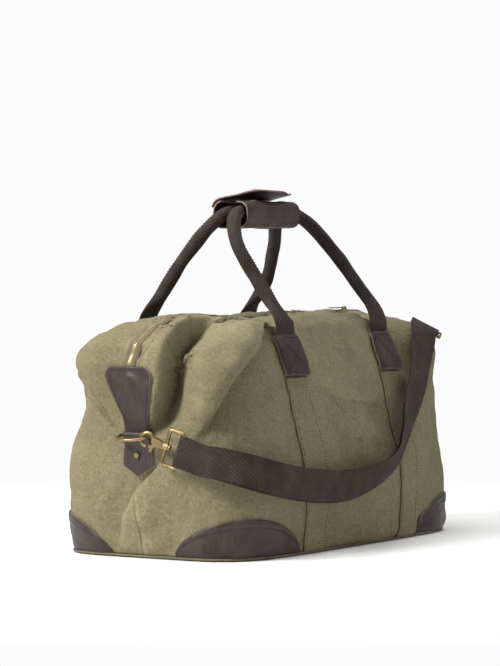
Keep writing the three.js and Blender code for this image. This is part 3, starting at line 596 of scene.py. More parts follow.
def square_to(vectors, directions):
    """The part of each vector square to a direction, as a unit vector."""
    return unit(vectors - (vectors * directions).sum(axis=-1, keepdims=True) * directions)


def swept(line, wide, thin, shape):
    """A section's (across, through) pairs carried along a line with its own two axes."""
    return line[:, None] + wide[:, None] * shape[..., 0:1] + thin[:, None] * shape[..., 1:2]


def oval(sides, half_wide, half_thin, square=2.0):
    angles = np.linspace(0, 2 * np.pi, sides, endpoint=False)
    across, through = squared_off(np.cos(angles), square), squared_off(np.sin(angles), square)
    return np.stack([half_wide * across, half_thin * through], axis=1)


def smoothed(values, passes):
    """Values averaged with their neighbours along the first axis, ends kept."""
    for _ in range(passes):
        values[1:-1] = (values[:-2] + 2 * values[1:-1] + values[2:]) / 4
    return values


def smoothstep(values, low, high):
    t = np.clip((values - low) / (high - low), 0, 1)
    return t * t * (3 - 2 * t)


# ---- the body ----
def body_rows():
    """Height, half length, half depth and squareness at every row."""
    levels = np.array(LEVELS, dtype=float)
    step = np.abs(np.diff(levels[:, :3], axis=0))
    run = np.concatenate([[0.0], np.cumsum(np.hypot(step[:, 0], np.maximum(step[:, 1], step[:, 2])))])
    wanted = np.linspace(0, run[-1], ROWS)
    return smoothed(looked_up(wanted, run, levels), 8) * [MM, MM, MM, 1]


def outline_angles(start):
    """Angles half way round the body, so that the columns stand evenly apart."""
    half_length, half_depth, squareness, fine_steps = 292, 146, 5, 6001
    angles = np.linspace(start, start + np.pi, fine_steps)
    x = half_length * squared_off(np.cos(angles), squareness)
    y = half_depth * squared_off(np.sin(angles), squareness)
    run = run_along(np.stack([x, y], axis=1))
    return np.interp(np.linspace(0, run[-1], COLUMNS), run, angles)


def plain_body(start):
    rows = body_rows()
    angles = outline_angles(start)
    z, a, b, n = (rows[:, c : c + 1] for c in range(4))
    x = a * squared_off(np.cos(angles)[None], n)
    y = b * squared_off(np.sin(angles)[None], n)
    return np.stack([x, y, np.broadcast_to(z, x.shape)], axis=2)


def beside(points, normals, line):
    """For each point: its share along a line, its distance to the line's left, and which way is left."""
    line = np.array(line, dtype=float) * MM
    segments = len(line) - 1
    best = np.full(points.shape[:2], 1e9)
    share = np.zeros_like(best)
    left = np.zeros_like(best)
    sideways = np.zeros_like(points)
    for k in range(segments):
        step = line[k + 1] - line[k]
        t = np.clip(((points - line[k]) @ step) / (step @ step), 0, 1)
        away = points - (line[k] + t[..., None] * step)
        distance = np.linalg.norm(away, axis=2)
        leftward = unit(np.cross(unit(step), normals))
        sign = np.sign((away * leftward).sum(axis=2))
        near = distance < best
        best = np.where(near, distance, best)
        share = np.where(near, (k + t) / segments, share)
        left = np.where(near, sign * distance, left)
        sideways = np.where(near[..., None], leftward, sideways)
    return share, left, sideways


def softened(distance, pairs):
    """A curve through (distance, value) pairs with its corners rounded."""
    at = np.arange(-120, 121) * 1.0
    kernel = np.exp(-0.5 * (np.arange(-8, 9) / 2.2) ** 2)
    values = np.interp(at, *zip(*pairs))
    return np.interp(distance / MM, at, np.convolve(values, kernel / kernel.sum(), mode="same")) * MM


def folded(points, normals, fold):
    """How far one fold lifts the cloth, and how far it shifts it sideways."""
    share, left, sideways = beside(points, normals, fold["line"])
    strength = np.interp(share, np.linspace(0, 1, len(fold["strength"])), fold["strength"])
    lean = softened(left, fold.get("lean", [(0, 0)])) * strength
    return softened(left, fold["profile"]) * strength, sideways * lean[..., None]


def ripples(points, seed, longest, shortest, stretch=(1, 1, 1)):
    """A smooth random field of about unit height."""
    rng = np.random.default_rng(seed)
    waves = 28
    directions = unit(rng.normal(size=(waves, 3))) * np.array(stretch)
    lengths = rng.uniform(shortest, longest, waves) * MM
    phases = rng.uniform(0, 2 * np.pi, waves)
    total = np.zeros(points.shape[:2])
    for direction, length, phase in zip(directions, lengths, phases):
        total += np.sin(points @ direction * (2 * np.pi / length) + phase)
    return total * (2 / waves) ** 0.5


def zip_middle(z, end):
    """Where across an end the zip's line lies at a height: it leans back down the left end."""
    low, high = end["tab"]
    down = np.clip((z - low) / (high - low), 0, 1)
    settled = np.clip((SHOULDER_Z - z) / (SHOULDER_Z - high), 0, 1)
    return end["lean"] * down * settled


def zip_groove(points):
    """The sunk band that the zip's tape lies in."""
    depth = np.zeros(points.shape[:2])
    for end in ENDS.values():
        aside = np.abs(points[..., 1] - zip_middle(points[..., 2], end))
        inside = 1 - smoothstep(aside, ZIP["tape"], ZIP["tape"] + 1.6 * MM)
        above = smoothstep(points[..., 2], end["tab"][1] - 16 * MM, end["tab"][1] - 10 * MM)
        here = np.where(points[..., 0] * end["side"] >= 0, 1.0, 0.0)
        depth += ZIP["groove"] * inside * above * here
    return depth


def slack(points, normals):
    """How the cloth moves off its plain outline: folds, swellings, ripples and fine creases."""
    lift = np.zeros(points.shape[:2])
    shift = np.zeros_like(points)
    for fold in FOLDS:
        height, aside = folded(points, normals, fold)
        lift += height
        shift += aside
    for centre, radius, height in SWELLS:
        off = np.linalg.norm(points - np.array(centre) * MM, axis=2) / (radius * MM)
        lift = lift + height * MM * np.exp(-(off**2))
    z = points[..., 2]
    low = 1 - smoothstep(z, 40 * MM, 150 * MM)
    lift += 1.3 * MM * ripples(points, 11, 150, 70)
    lift += 1.5 * MM * low * ripples(points, 5, 95, 55, (1, 1, 0.25))
    lift += 0.5 * MM * ripples(points, 23, 40, 22)
    lift += 0.16 * MM * ripples(points, 37, 15, 8)
    puffs = np.exp(-(((z - 16 * MM) / (12 * MM)) ** 2))
    lift += 1.6 * MM * puffs * (0.6 + ripples(points, 3, 60, 30, (1, 1, 0.1)))
    seam = np.exp(-(((z - 290 * MM) / (10 * MM)) ** 2))
    lift += 0.8 * MM * seam * ripples(points, 41, 32, 16)
    for centre, radius in CALM:
        off = np.linalg.norm(points - np.array(centre) * MM, axis=2) / (radius * MM)
        still = 1 - np.exp(-(off**4))
        lift = lift * still
        shift = shift * still[..., None]
    lift = lift * (0.25 + 0.75 * smoothstep(z, 0, 14 * MM)) - zip_groove(points)
    return shift + normals * lift[..., None]


def draped_body(start):
    points = plain_body(start)
    normals = normals_of(points)
    return points + slack(points, normals)


def body_tree(grids):
    """Something to cast rays at: every grid of the body, as quads."""
    vertices, faces, first = [], [], 0
    for grid in grids:
        rows, columns, _ = grid.shape
        i, j = (m.ravel() for m in np.meshgrid(np.arange(rows - 1), np.arange(columns - 1), indexing="ij"))
        corner = first + i * columns + j
        faces += np.stack([corner, corner + 1, corner + columns + 1, corner + columns], 1).tolist()
        vertices += grid.reshape(-1, 3).tolist()
        first += rows * columns
    return BVHTree.FromPolygons(vertices, faces)


def canvas_pieces():
    grids = {"front": draped_body(np.pi), "back": draped_body(0.0)}
    for face, grid in grids.items():
        piece = mesh_of(f"canvas_{face}", grid, CANVAS_LOOK)
        thickened(piece, CANVAS, -1)
        belongs(piece, "root", "canvas", f"{face}_panel")
    return grids


def settle(starts, inward, lift, passes=2):
    """Drops a grid of points on to the body along a direction, then lifts it off along its own normals."""
    inward = Vector(inward).normalized()
    flat = []
    for start in starts.reshape(-1, 3):
        hit = BODY_TREE.ray_cast(Vector(start) - inward * 0.3, inward)[0]
        flat.append(hit if hit is not None else Vector(start))
    grid = np.array(flat).reshape(starts.shape)
    grid = smoothed(grid, passes)
    grid = smoothed(grid.transpose(1, 0, 2).copy(), passes).transpose(1, 0, 2).copy()
    normals = normals_of(grid)
    if (normals @ np.array(inward)).mean() > 0:
        grid = grid[:, ::-1].copy()
        normals = normals_of(grid)
        lift = lift[:, ::-1] if isinstance(lift, np.ndarray) else lift
    lift = lift[..., None] if isinstance(lift, np.ndarray) else lift
    return grid + normals * lift


# ---- stitches ----
def stitched(name, lines, body, slot, length=2.8 * MM, gap=1.3 * MM, radius=0.5 * MM):
    """Rows of short threads that dip into the material at both ends. Each line is points and normals."""
    rings, sides = 5, 6
    ring_at = np.linspace(0, 1, rings)
    fat = np.array([0.45, 0.95, 1.0, 0.95, 0.45]) * radius
    high = np.array([-0.6, 0.4, 0.6, 0.4, -0.6]) * radius
    angles = np.linspace(0, 2 * np.pi, sides, endpoint=False)
    vertices, faces = [], []
    for points, normals in lines:
        run = run_along(points)
        for k in range(int(run[-1] // (length + gap))):
            start = k * (length + gap) + gap / 2
            a, b = looked_up(start, run, points), looked_up(start + length, run, points)
            up = unit(looked_up(start + length / 2, run, normals))
            side = unit(np.cross(b - a, up))
            first = len(vertices)
            for t, r, h in zip(ring_at, fat, high):
                middle = a + (b - a) * t + up * h
                vertices += [tuple(middle + r * (side * math.cos(q) + up * math.sin(q))) for q in angles]
            faces += tube_faces(first, rings, sides)
    mesh = bpy.data.meshes.new(name)
    mesh.from_pydata(vertices, [], faces)
    mesh.uv_layers.new(name="UVMap")
    return belongs(placed(name, mesh, THREAD_LOOK), body, slot)


def line_on(grid, shares, height):
    """A line over a grid at (up, across) shares, raised by a height, with its normals."""
    normals = normals_of(grid)
    rows, columns, _ = grid.shape
    points, ups = [], []
    for up, across in shares:
        r, c = up * (rows - 1), across * (columns - 1)
        i, j = min(int(r), rows - 2), min(int(c), columns - 2)
        u, v = r - i, c - j
        shares_of = np.array([[(1 - u) * (1 - v), (1 - u) * v], [u * (1 - v), u * v]])[..., None]
        point = (shares_of * grid[i : i + 2, j : j + 2]).sum(axis=(0, 1))
        normal = unit((shares_of * normals[i : i + 2, j : j + 2]).sum(axis=(0, 1)))
        points.append(point + normal * height)
        ups.append(normal)
    return np.array(points), np.array(ups)


def straight(start, stop, steps=24):
    return [tuple(np.array(start) + (np.array(stop) - np.array(start)) * k / steps) for k in range(steps + 1)]


# ---- canvas strips, patches and corners ----
def handle_feet(size, columns, rows):
    """For each place where a handle is sewn on: its face and hand, the way in, points to settle
    on the body, and how far each column stands from their middle."""
    for face, side in FACES:
        for hand, way in HANDS:
            x = way * HANDLE_X
            across = np.linspace(x - size["half"], x + size["half"], columns)
            heights = np.linspace(size["bottom"], size["top"], rows)
            starts = np.stack(np.broadcast_arrays(across[None], side * 0.2, heights[:, None]), axis=2)
            yield face, hand, (0, -side, 0), starts, np.abs(across - x)


def strip_pieces():
    rows = []
    for face, hand, inward, starts, _ in handle_feet(STRIP, 13, 90):
        grid = settle(starts, inward, STRIP["lift"])
        piece = mesh_of(f"canvas_strip_{face}_{hand}", grid, CANVAS_LOOK)
        thickened(piece, WEBBING, 1)
        belongs(piece, "root", "canvas", f"{face}_strip_{hand}")
        rows += [line_on(grid, straight((0, c), (1, c), 80), WEBBING) for c in (0.07, 0.93)]
    stitched("strip_stitching", rows, "root", "canvas")


def patch_pieces():
    near, far = 0.08, 0.92  # the stitched square's corners, as shares of the patch
    corners = [(near, near), (near, far), (far, far), (far, near), (near, near)]
    crossing = [(corners[0], corners[2]), (corners[1], corners[3])]
    rows = []
    for face, hand, inward, starts, aside in handle_feet(PATCH, 36, 36):
        over = 1 - smoothstep(aside, 19 * MM, 26 * MM)
        lift = PATCH["lift"] + PATCH["bulge"] * np.broadcast_to(over[None], starts.shape[:2])
        grid = settle(starts, inward, lift.copy())
        piece = mesh_of(f"leather_patch_{face}_{hand}", grid, LEATHER_LOOK)
        thickened(piece, LEATHER, 1, RAW_EDGE)
        rounded = piece.modifiers.new("soft_edge", "BEVEL")
        rounded.width = 0.5 * MM
        rounded.segments = 2
        belongs(piece, "root", "leather", f"{face}_handle_patch_{hand}")
        for start, stop in [*zip(corners, corners[1:]), *crossing]:
            rows.append(line_on(grid, straight(start, stop), LEATHER))
    stitched("patch_stitching", rows, "root", "leather")


def corner_pieces():
    rows = []
    for face, sy in FACES:
        for hand, sx in HANDS:
            diagonal = np.array([sx, sy, 0]) / 2**0.5
            aside = np.array([-sy, sx, 0]) / 2**0.5
            middle = np.array([sx * 284, sy * 145, 0]) * MM * 0.5 ** (1 / 5.5)
            u = np.linspace(-0.995, 0.995, 61)
            v = np.linspace(0, 1, 26)
            dome = 2.5 * MM + v[:, None] * (CORNER["height"] - 2.5 * MM) * np.sqrt(1 - u[None] ** 2)
            starts = middle + aside * (u * CORNER["half"])[None, :, None] + [0, 0, 1] * dome[..., None]
            rim = 0.9 * MM * np.exp(-(((v[:, None] - 0.88) / 0.07) ** 2)) * np.ones_like(u)[None]
            grid = settle(starts, -diagonal, CORNER["lift"] + rim)
            piece = mesh_of(f"leather_corner_{face}_{hand}", grid, LEATHER_LOOK)
            thickened(piece, LEATHER, 1, RAW_EDGE)
            belongs(piece, "root", "leather", f"corner_patch_{face}_{hand}")
            rows.append(line_on(grid, straight((0.8, 0.03), (0.8, 0.97), 70), LEATHER))
    stitched("corner_stitching", rows, "root", "leather")


def base_pieces():
    level = LEVELS[1]
    a, b, n = level[1] * MM - 1 * MM, level[2] * MM - 1 * MM, level[3]
    x = np.linspace(-1, 1, 90)
    half = b * np.maximum(1 - np.abs(x) ** n, 1e-4) ** (1 / n)
    y = np.linspace(1, -1, 40)
    grid = np.stack(np.broadcast_arrays(a * x[:, None], half[:, None] * y[None], 1.6 * MM), axis=2).copy()
    grid[..., 2] += 0.25 * MM * ripples(grid, 2, 60, 30)
    base = thickened(mesh_of("canvas_base", grid, CANVAS_LOOK), 1.2 * MM, -1)
    belongs(base, "root", "canvas", "base_panel")

    angles = np.linspace(0, 2 * np.pi, 400, endpoint=False)
    piping_off, piping_z = 1.2 * MM, 2.0 * MM
    x = (a + piping_off) * squared_off(np.cos(angles), n)
    y = (b + piping_off) * squared_off(np.sin(angles), n)
    line = np.stack([x, y, np.full_like(x, piping_z)], axis=1)
    along = unit(np.roll(line, -1, axis=0) - np.roll(line, 1, axis=0))
    up = np.tile([0.0, 0.0, 1.0], (len(line), 1))
    ring = swept(line, np.cross(along, up), up, oval(10, 1.3 * MM, 1.4 * MM))
    ring = np.concatenate([ring, ring[:1]])
    belongs(mesh_of("base_piping", ring, CANVAS_LOOK, wrap=True), "root", "canvas")


# ---- the zip ----
def zip_line():
    """Points of the zip from the left tab to the right one, on the settled canvas, with normals."""
    rows = body_rows()
    knots = []
    for end in ENDS.values():
        heights = rows[(rows[:, 0] > end["tab"][1] - 12 * MM) & (rows[:, 1] > 226 * MM)]
        rise = [(end["side"] * r[1], zip_middle(r[0], end), r[0]) for r in heights]
        knots.append(rise)
    ridge = [(x, 0, TOP_Z) for x in np.linspace(-215, 215, 40) * MM]
    raw = np.array([*knots[0], *ridge, *knots[1][::-1]])
    line = smoothed(evenly(raw, 480), 14)
    along = unit(np.gradient(line, axis=0))
    normals = unit(np.cross(along, np.tile([0.0, 1.0, 0.0], (len(line), 1)))) * -1
    beyond = np.array([0, ZIP["tape"] + 3.5 * MM, 0])
    heights = []
    for point, normal in zip(line, normals):
        found = []
        for side in (-1, 1):
            start = Vector(point + side * beyond + normal * 0.05)
            hit = BODY_TREE.ray_cast(start, Vector(-normal))
            found.append(0.05 - hit[3] if hit[0] is not None else 0.0)
        heights.append(min(sum(found) / 2, 4 * MM))
    heights = smoothed(np.array(heights), 30)
    return line + normals * heights[:, None], normals


def zip_pieces():
    line, normals = zip_line()
    aside = np.tile([0.0, 1.0, 0.0], (len(line), 1))
    for face, side in FACES:
        tape_at = np.linspace(1.0 * MM, ZIP["tape"] + 1.0 * MM, 8) * side
        sink = -1.2 * MM + 0 * tape_at
        tape = swept(line, aside, normals, np.stack([tape_at, sink], 1)[:: -side])
        cloth = thickened(mesh_of(f"tape_{face}", tape, TAPE_LOOK), 0.6 * MM, 0)
        belongs(cloth, "root", "zip_tape", f"zip_tape_{face}")
        welt = oval(10, 1.5 * MM, 1.2 * MM) + np.array([side * (ZIP["tape"] + 1.6 * MM), 0.1 * MM])
        edge = mesh_of(f"zip_welt_{face}", swept(line, aside, normals, welt), CANVAS_LOOK, wrap=True)
        belongs(edge, "root", "canvas")
        belongs(zip_teeth(face, side, line, normals), "root", "brass", f"zip_teeth_{face}")
    seam_rows = []
    top = slice(70, -70)  # the stretch over the top, clear of both ends
    for side in (-1, 1):
        reach = side * (ZIP["tape"] + np.array([5, 6, 7]) * MM)
        starts = line[top, None] + aside[top, None] * reach[:, None]
        grid = settle(starts, (0, 0, -1), 0.2 * MM)
        seam_rows.append(line_on(grid, straight((0, 0.5), (1, 0.5), 200), 0))
    stitched("zip_seam_stitching", seam_rows, "root", "canvas")


def zip_teeth(face, side, line, normals):
    """One row of separate metal teeth, each a small rounded block that meets the other row's."""
    run = run_along(line)
    shift = 0.0 if side < 0 else ZIP["pitch"] / 2
    profile = [(-0.5, 0.3, 0.3), (0.2, 0.38, 0.62), (1.9, 0.38, 0.62), (2.5, 0.28, 0.4)]
    vertices, faces = [], []
    for k in range(int((run[-1] - ZIP["pitch"]) // ZIP["pitch"])):
        s = k * ZIP["pitch"] + shift
        middle, up = looked_up(s, run, line), unit(looked_up(s, run, normals))
        ahead, behind = looked_up([min(s + MM, run[-1]), max(s - MM, 0)], run, line)
        along = unit(ahead - behind)
        out = np.array([0.0, side, 0.0])
        first = len(vertices)
        for reach, half, high in profile:
            corners = [(-half, -high), (half, -high), (half, high), (-half, high)]
            centre = middle + out * reach * MM - up * 0.7 * MM
            vertices += [tuple(centre + along * p * 1.5 * MM + up * q * 1.3 * MM) for p, q in corners]
        faces += tube_faces(first, len(profile), len(corners))
    mesh = bpy.data.meshes.new(f"teeth_{face}")
    mesh.from_pydata(vertices, [], faces)
    piece = placed(f"teeth_{face}", mesh, TEETH_LOOK)
    mesh.polygons.foreach_set("use_smooth", [False] * len(mesh.polygons))
    return piece


# ---- tabs and chapes on the ends ----
def tab_pieces():
    rows = []
    for hand, end in ENDS.items():
        side = end["side"]
        low, high = end["tab"]
        heights = np.linspace(low - TAB["lap"], high, 40)
        share = np.linspace(0, 1, 40)
        half = TAB["neck"] + (TAB["flare"] - TAB["neck"]) * smoothstep(share, 0.1, 0.92)
        half = half * (1 - 0.28 * smoothstep(share, 0.86, 1.0) ** 2)
        middle = end["lean"] * share
        across = np.linspace(-1, 1, 25)
        y = middle[:, None] + half[:, None] * across[None]
        starts = np.stack(np.broadcast_arrays(side * 0.3, y, heights[:, None]), axis=2)
        from_middle = half[:, None] * across[None]
        over_zip = smoothstep(share, 0.72, 0.86)[:, None] * np.exp(-((from_middle / (9 * MM)) ** 2))
        grid = settle(starts, (-side, 0, 0), TAB["lift"] + TAB["over_zip"] * over_zip, 4)
        piece = mesh_of(f"leather_tab_{hand}", grid, LEATHER_LOOK)
        thickened(piece, LEATHER, 1, RAW_EDGE)
        belongs(piece, "root", "leather", f"{hand}_end_tab")
        inset = [(0.05, 0.07), (0.95, 0.06), (0.95, 0.94), (0.05, 0.93)]
        rows += [line_on(grid, straight(p, q, 30), LEATHER) for p, q in zip(inset, [*inset[1:], inset[0]])]
    stitched("tab_stitching", rows, "root", "leather")


def end_x(z):
    rows = body_rows()
    order = np.argsort(rows[:, 0], kind="stable")
    return np.interp(z, rows[order, 0], rows[order, 1])


def chape_pieces():
    """A doubled leather strip folded over each ring's bar: its short leg behind, its pointed leg in front."""
    for hand, end in ENDS.items():
        side, ring_z = end["side"], end["ring_z"]
        turn = 3.5 * MM
        down = np.linspace(CHAPE["back"], 0, 24)
        path = [(1.8 * MM, ring_z - d) for d in down]
        angles = np.linspace(np.pi, 0, 16)[1:]
        path += [(RING_OFF + turn * math.cos(q), ring_z + turn * math.sin(q)) for q in angles]
        for d in np.linspace(0, CHAPE["length"], 40)[1:]:
            off = 3.7 * MM + (RING_OFF + turn - 3.7 * MM) * (1 - smoothstep(d, 0, 15 * MM))
            path.append((off, ring_z - d))
        path = np.array(path)
        below = CHAPE["length"] - (ring_z - path[:, 1])
        half = CHAPE["half"] * (1 + 0.1 * smoothstep(ring_z - path[:, 1], 5 * MM, 35 * MM))
        tip = np.clip(below / CHAPE["point"], 0.12, 1)
        front_leg = np.arange(len(path)) > 30
        half = half * np.where(front_leg, tip, 1)
        x = side * (end_x(path[:, 1]) + path[:, 0])
        across = np.linspace(-1, 1, 15)
        grid = np.stack(
            np.broadcast_arrays(x[:, None], half[:, None] * across[None], path[:, 1][:, None]), axis=2
        ).copy()
        piece = mesh_of(f"leather_chape_{hand}", grid, LEATHER_LOOK)
        thickened(piece, CHAPE["thick"], 0, RAW_EDGE)
        belongs(piece, "root", "leather", f"{hand}_chape")


# ---- handles and grip ----
def body_y(x, z):
    """How far out the settled front is from the middle plane at a point."""
    hit = BODY_TREE.ray_cast(Vector((x, -0.4, z)), Vector((0, 1, 0)))[0]
    return abs(hit.y)


def handle_pieces():
    for face, route in HANDLE_ROUTES.items():
        side = -1 if face == "front" else 1
        knots = []
        for x, y, z in route:
            on_canvas = side * (body_y(x * MM, z * MM) + FOOT_OFF) if y is None else y * MM
            knots.append((x * MM, on_canvas, z * MM))
        steps = 260
        line, _ = curve_through(knots, steps)
        along = unit(np.gradient(line, axis=0))
        thin = square_to(np.tile([0.0, 1.0, 0.0], (len(line), 1)), along)
        wide = np.cross(along, thin)
        length = np.linalg.norm(np.diff(line, axis=0), axis=1).sum()
        share = np.linspace(0, 1, steps + 1)
        from_end = length * np.minimum(share, 1 - share)
        round_share = smoothstep(from_end, SLEEVE["foot"], SLEEVE["foot"] + SLEEVE["turn"])
        half_wide = SLEEVE["flat_half"] + (SLEEVE["radius"] - SLEEVE["flat_half"]) * round_share
        half_thin = SLEEVE["flat_thin"] + (SLEEVE["radius"] - SLEEVE["flat_thin"]) * round_share
        shape = handle_section(half_wide, half_thin, round_share, side)
        grid = swept(line, wide, thin, shape)
        grid += 0.35 * MM * unit(grid - line[:, None]) * ripples(grid, 8, 60, 25)[..., None]
        piece = mesh_of(f"webbing_handle_{face}", grid, WEBBING_LOOK, wrap=True, caps=True)
        belongs(piece, "root", "webbing", f"{face}_handle")
        seam = int(grid.shape[1] * 0.25) if side > 0 else int(grid.shape[1] * 0.75)
        outward = unit(grid[:, seam - 3] - line)
        stitched(f"handle_stitching_{face}", [(grid[14:-14, seam - 3], outward[14:-14])], "root", "webbing")


def handle_section(half_wide, half_thin, round_share, side):
    """The folded sleeve: an oval whose outer side carries the lapped edge of the webbing."""
    sides = 40
    angles = np.linspace(0, 2 * np.pi, sides, endpoint=False)
    lap_at = np.pi / 2 * side
    turn = np.angle(np.exp(1j * (angles - lap_at)))
    lap = np.where(turn < 0.0, 1.1, -0.5) * MM * np.exp(-((turn / 0.42) ** 2))
    bulge = lap[None] * round_share[:, None]
    x = (half_wide[:, None] + bulge) * np.cos(angles)[None]
    y = (half_thin[:, None] + bulge) * np.sin(angles)[None]
    return np.stack([x, y], axis=2)


def grip_pieces():
    corners = [(1, 1), (1, -1), (-1, -1), (-1, 1)]
    path = [(14 * MM, GRIP["top"])]
    for c, (sy, sz) in enumerate(corners):
        cy = sy * (GRIP["y"] - GRIP_ROUND)
        cz = GRIP["top"] - GRIP_ROUND if sz > 0 else GRIP["bottom"] + GRIP_ROUND
        for k in range(7):
            angle = math.pi / 2 - (c + k / 6) * math.pi / 2
            path.append((cy + GRIP_ROUND * math.cos(angle), cz + GRIP_ROUND * math.sin(angle)))
    path.append((-9 * MM, GRIP["top"]))
    path = smoothed(evenly(np.array(path), 90), 2)
    x = np.linspace(GRIP["from"], GRIP["to"], 46)
    middle_z = (GRIP["top"] + GRIP["bottom"]) / 2
    share = np.linspace(-1, 1, 46)
    puff = 1 - 0.035 * (1 - share**2)
    y = path[:, 0][:, None] * puff[None]
    z = middle_z + (path[:, 1][:, None] - middle_z) * puff[None]
    grid = np.stack(np.broadcast_arrays(x[None], y, z), axis=2).copy()
    grid += normals_of(grid) * (0.45 * MM * ripples(grid, 17, 55, 25))[..., None]
    grid = grid[:, ::-1].copy()
    wrap = mesh_of("leather_grip", grid, LEATHER_LOOK)
    thickened(wrap, LEATHER, 0, RAW_EDGE)
    belongs(wrap, "root", "leather", "grip_wrap")
    lines = [straight((0.02, c), (0.98, c), 80) for c in (0.035, 0.965)]
    rows = [line_on(grid, line, way * LEATHER / 2) for way in (1, -1) for line in lines]
    stitched("grip_stitching", rows, "root", "leather")
    flap_piece()


def domed(name, place, up, size):
    """A pressed metal cap: a rolled rim and a low dome."""
    radius, height = size
    rolled_rim = [(1.0, -0.2), (1.03, 0.1), (0.99, 0.34), (0.9, 0.42), (0.84, 0.36)]
    dome = [(0.7, 0.62), (0.4, 0.9), (0.02, 1.0)]
    aside = unit(np.cross(up, [1.0, 0.2, 0.1]))
    across = np.cross(up, aside)
    angles = np.linspace(0, 2 * np.pi, 28, endpoint=False)
    rim = aside[None] * np.cos(angles)[:, None] + across[None] * np.sin(angles)[:, None]
    rings = [place + up * h * height + rim * reach * radius for reach, h in rolled_rim + dome]
    return mesh_of(name, np.array(rings), BRASS_LOOK, wrap=True)


def flap_piece():
    turned_down = np.array([(7 * MM, -9.5 * MM), (6.4 * MM, -5.5 * MM), (4.5 * MM, -2.2 * MM)])
    t = np.concatenate([np.zeros(len(turned_down)), np.linspace(0, 1, 30)])[:, None]
    across = np.linspace(-1, 1, 48)[None]
    left = GRIP["from"] + 50 * MM * t**1.6
    right = GRIP["to"] - 9 * MM * t**3
    x = (left + right) / 2 + (right - left) / 2 * across
    y = FLAP["hinge_y"] + (FLAP["tip_y"] - FLAP["hinge_y"]) * t + 5 * MM * t**3 * across**2
    droop = 5 * MM * t * smoothstep(across, 0.1, 1.0) - 2.5 * MM * t**4 * smoothstep(across, 0.7, 1.0)
    z = FLAP["hinge_z"] - 0.5 * MM + FLAP["rise"] * t * (1.35 - 0.45 * t) - droop
    grid = np.stack(np.broadcast_arrays(x, y, z), axis=2).copy()
    grid[: len(turned_down), :, 1:] += turned_down[:, None]
    grid[..., 2] += 0.5 * MM * ripples(grid, 29, 70, 30)
    grid = smoothed(grid, 2)
    if normals_of(grid)[..., 2].mean() < 0:
        grid = grid[:, ::-1].copy()
    fixed, grid = grid[: len(turned_down) + 1], grid[len(turned_down) :]
    root_fold = mesh_of("leather_flap_root", fixed, LEATHER_LOOK)
    thickened(root_fold, LEATHER, 1, RAW_EDGE)
    belongs(root_fold, "root", "leather")
    flap = mesh_of("leather_flap", grid, LEATHER_LOOK)
    thickened(flap, LEATHER, 1, RAW_EDGE)
    belongs(flap, "grip_flap", "leather", "grip_flap")
    for hand, across_share in (("left", 0.16), ("right", 0.84)):
        at, up = line_on(grid, [(0.7, across_share)], LEATHER)
        belongs(domed(f"cap_{hand}", at[0], up[0], CAP), "grip_flap", "brass", f"snap_cap_{hand}")
    inset = [(0.06, 0.03), (0.92, 0.04), (0.92, 0.96), (0.06, 0.97)]
    rows = [line_on(grid, straight(p, q, 40), LEATHER) for p, q in zip(inset, inset[1:])]
    stitched("flap_stitching", rows, "grip_flap", "leather")


# ---- the shoulder strap ----
def strap_stations():
    """The strap's middle line, its direction, and its two other axes, at every step."""
    left, right = (
        [np.array(HOOKS[hand][0] + HOOKS[hand][1] * (EYE_FAR + lead)) for lead in (0, *EYE_LEADS)]
        for hand in ("left", "right")
    )
    knots = [*left, *(np.array(p) * MM for p, _ in STRAP_ROUTE), *right[::-1]]
    route_edges = [edge for _, edge in STRAP_ROUTE]
    edges = np.array([*[EYE_UP["left"]] * 3, *route_edges, *[EYE_UP["right"]] * 3], dtype=float)
    line, at = curve_through(knots, STRAP_STEPS)
    along = unit(np.gradient(line, axis=0))
    guide = np.stack([np.interp(at, np.arange(len(edges)), edges[:, c]) for c in range(3)], axis=1)
    side = square_to(smoothed(guide, 12), along)
    return line, along, side, -np.cross(along, side)


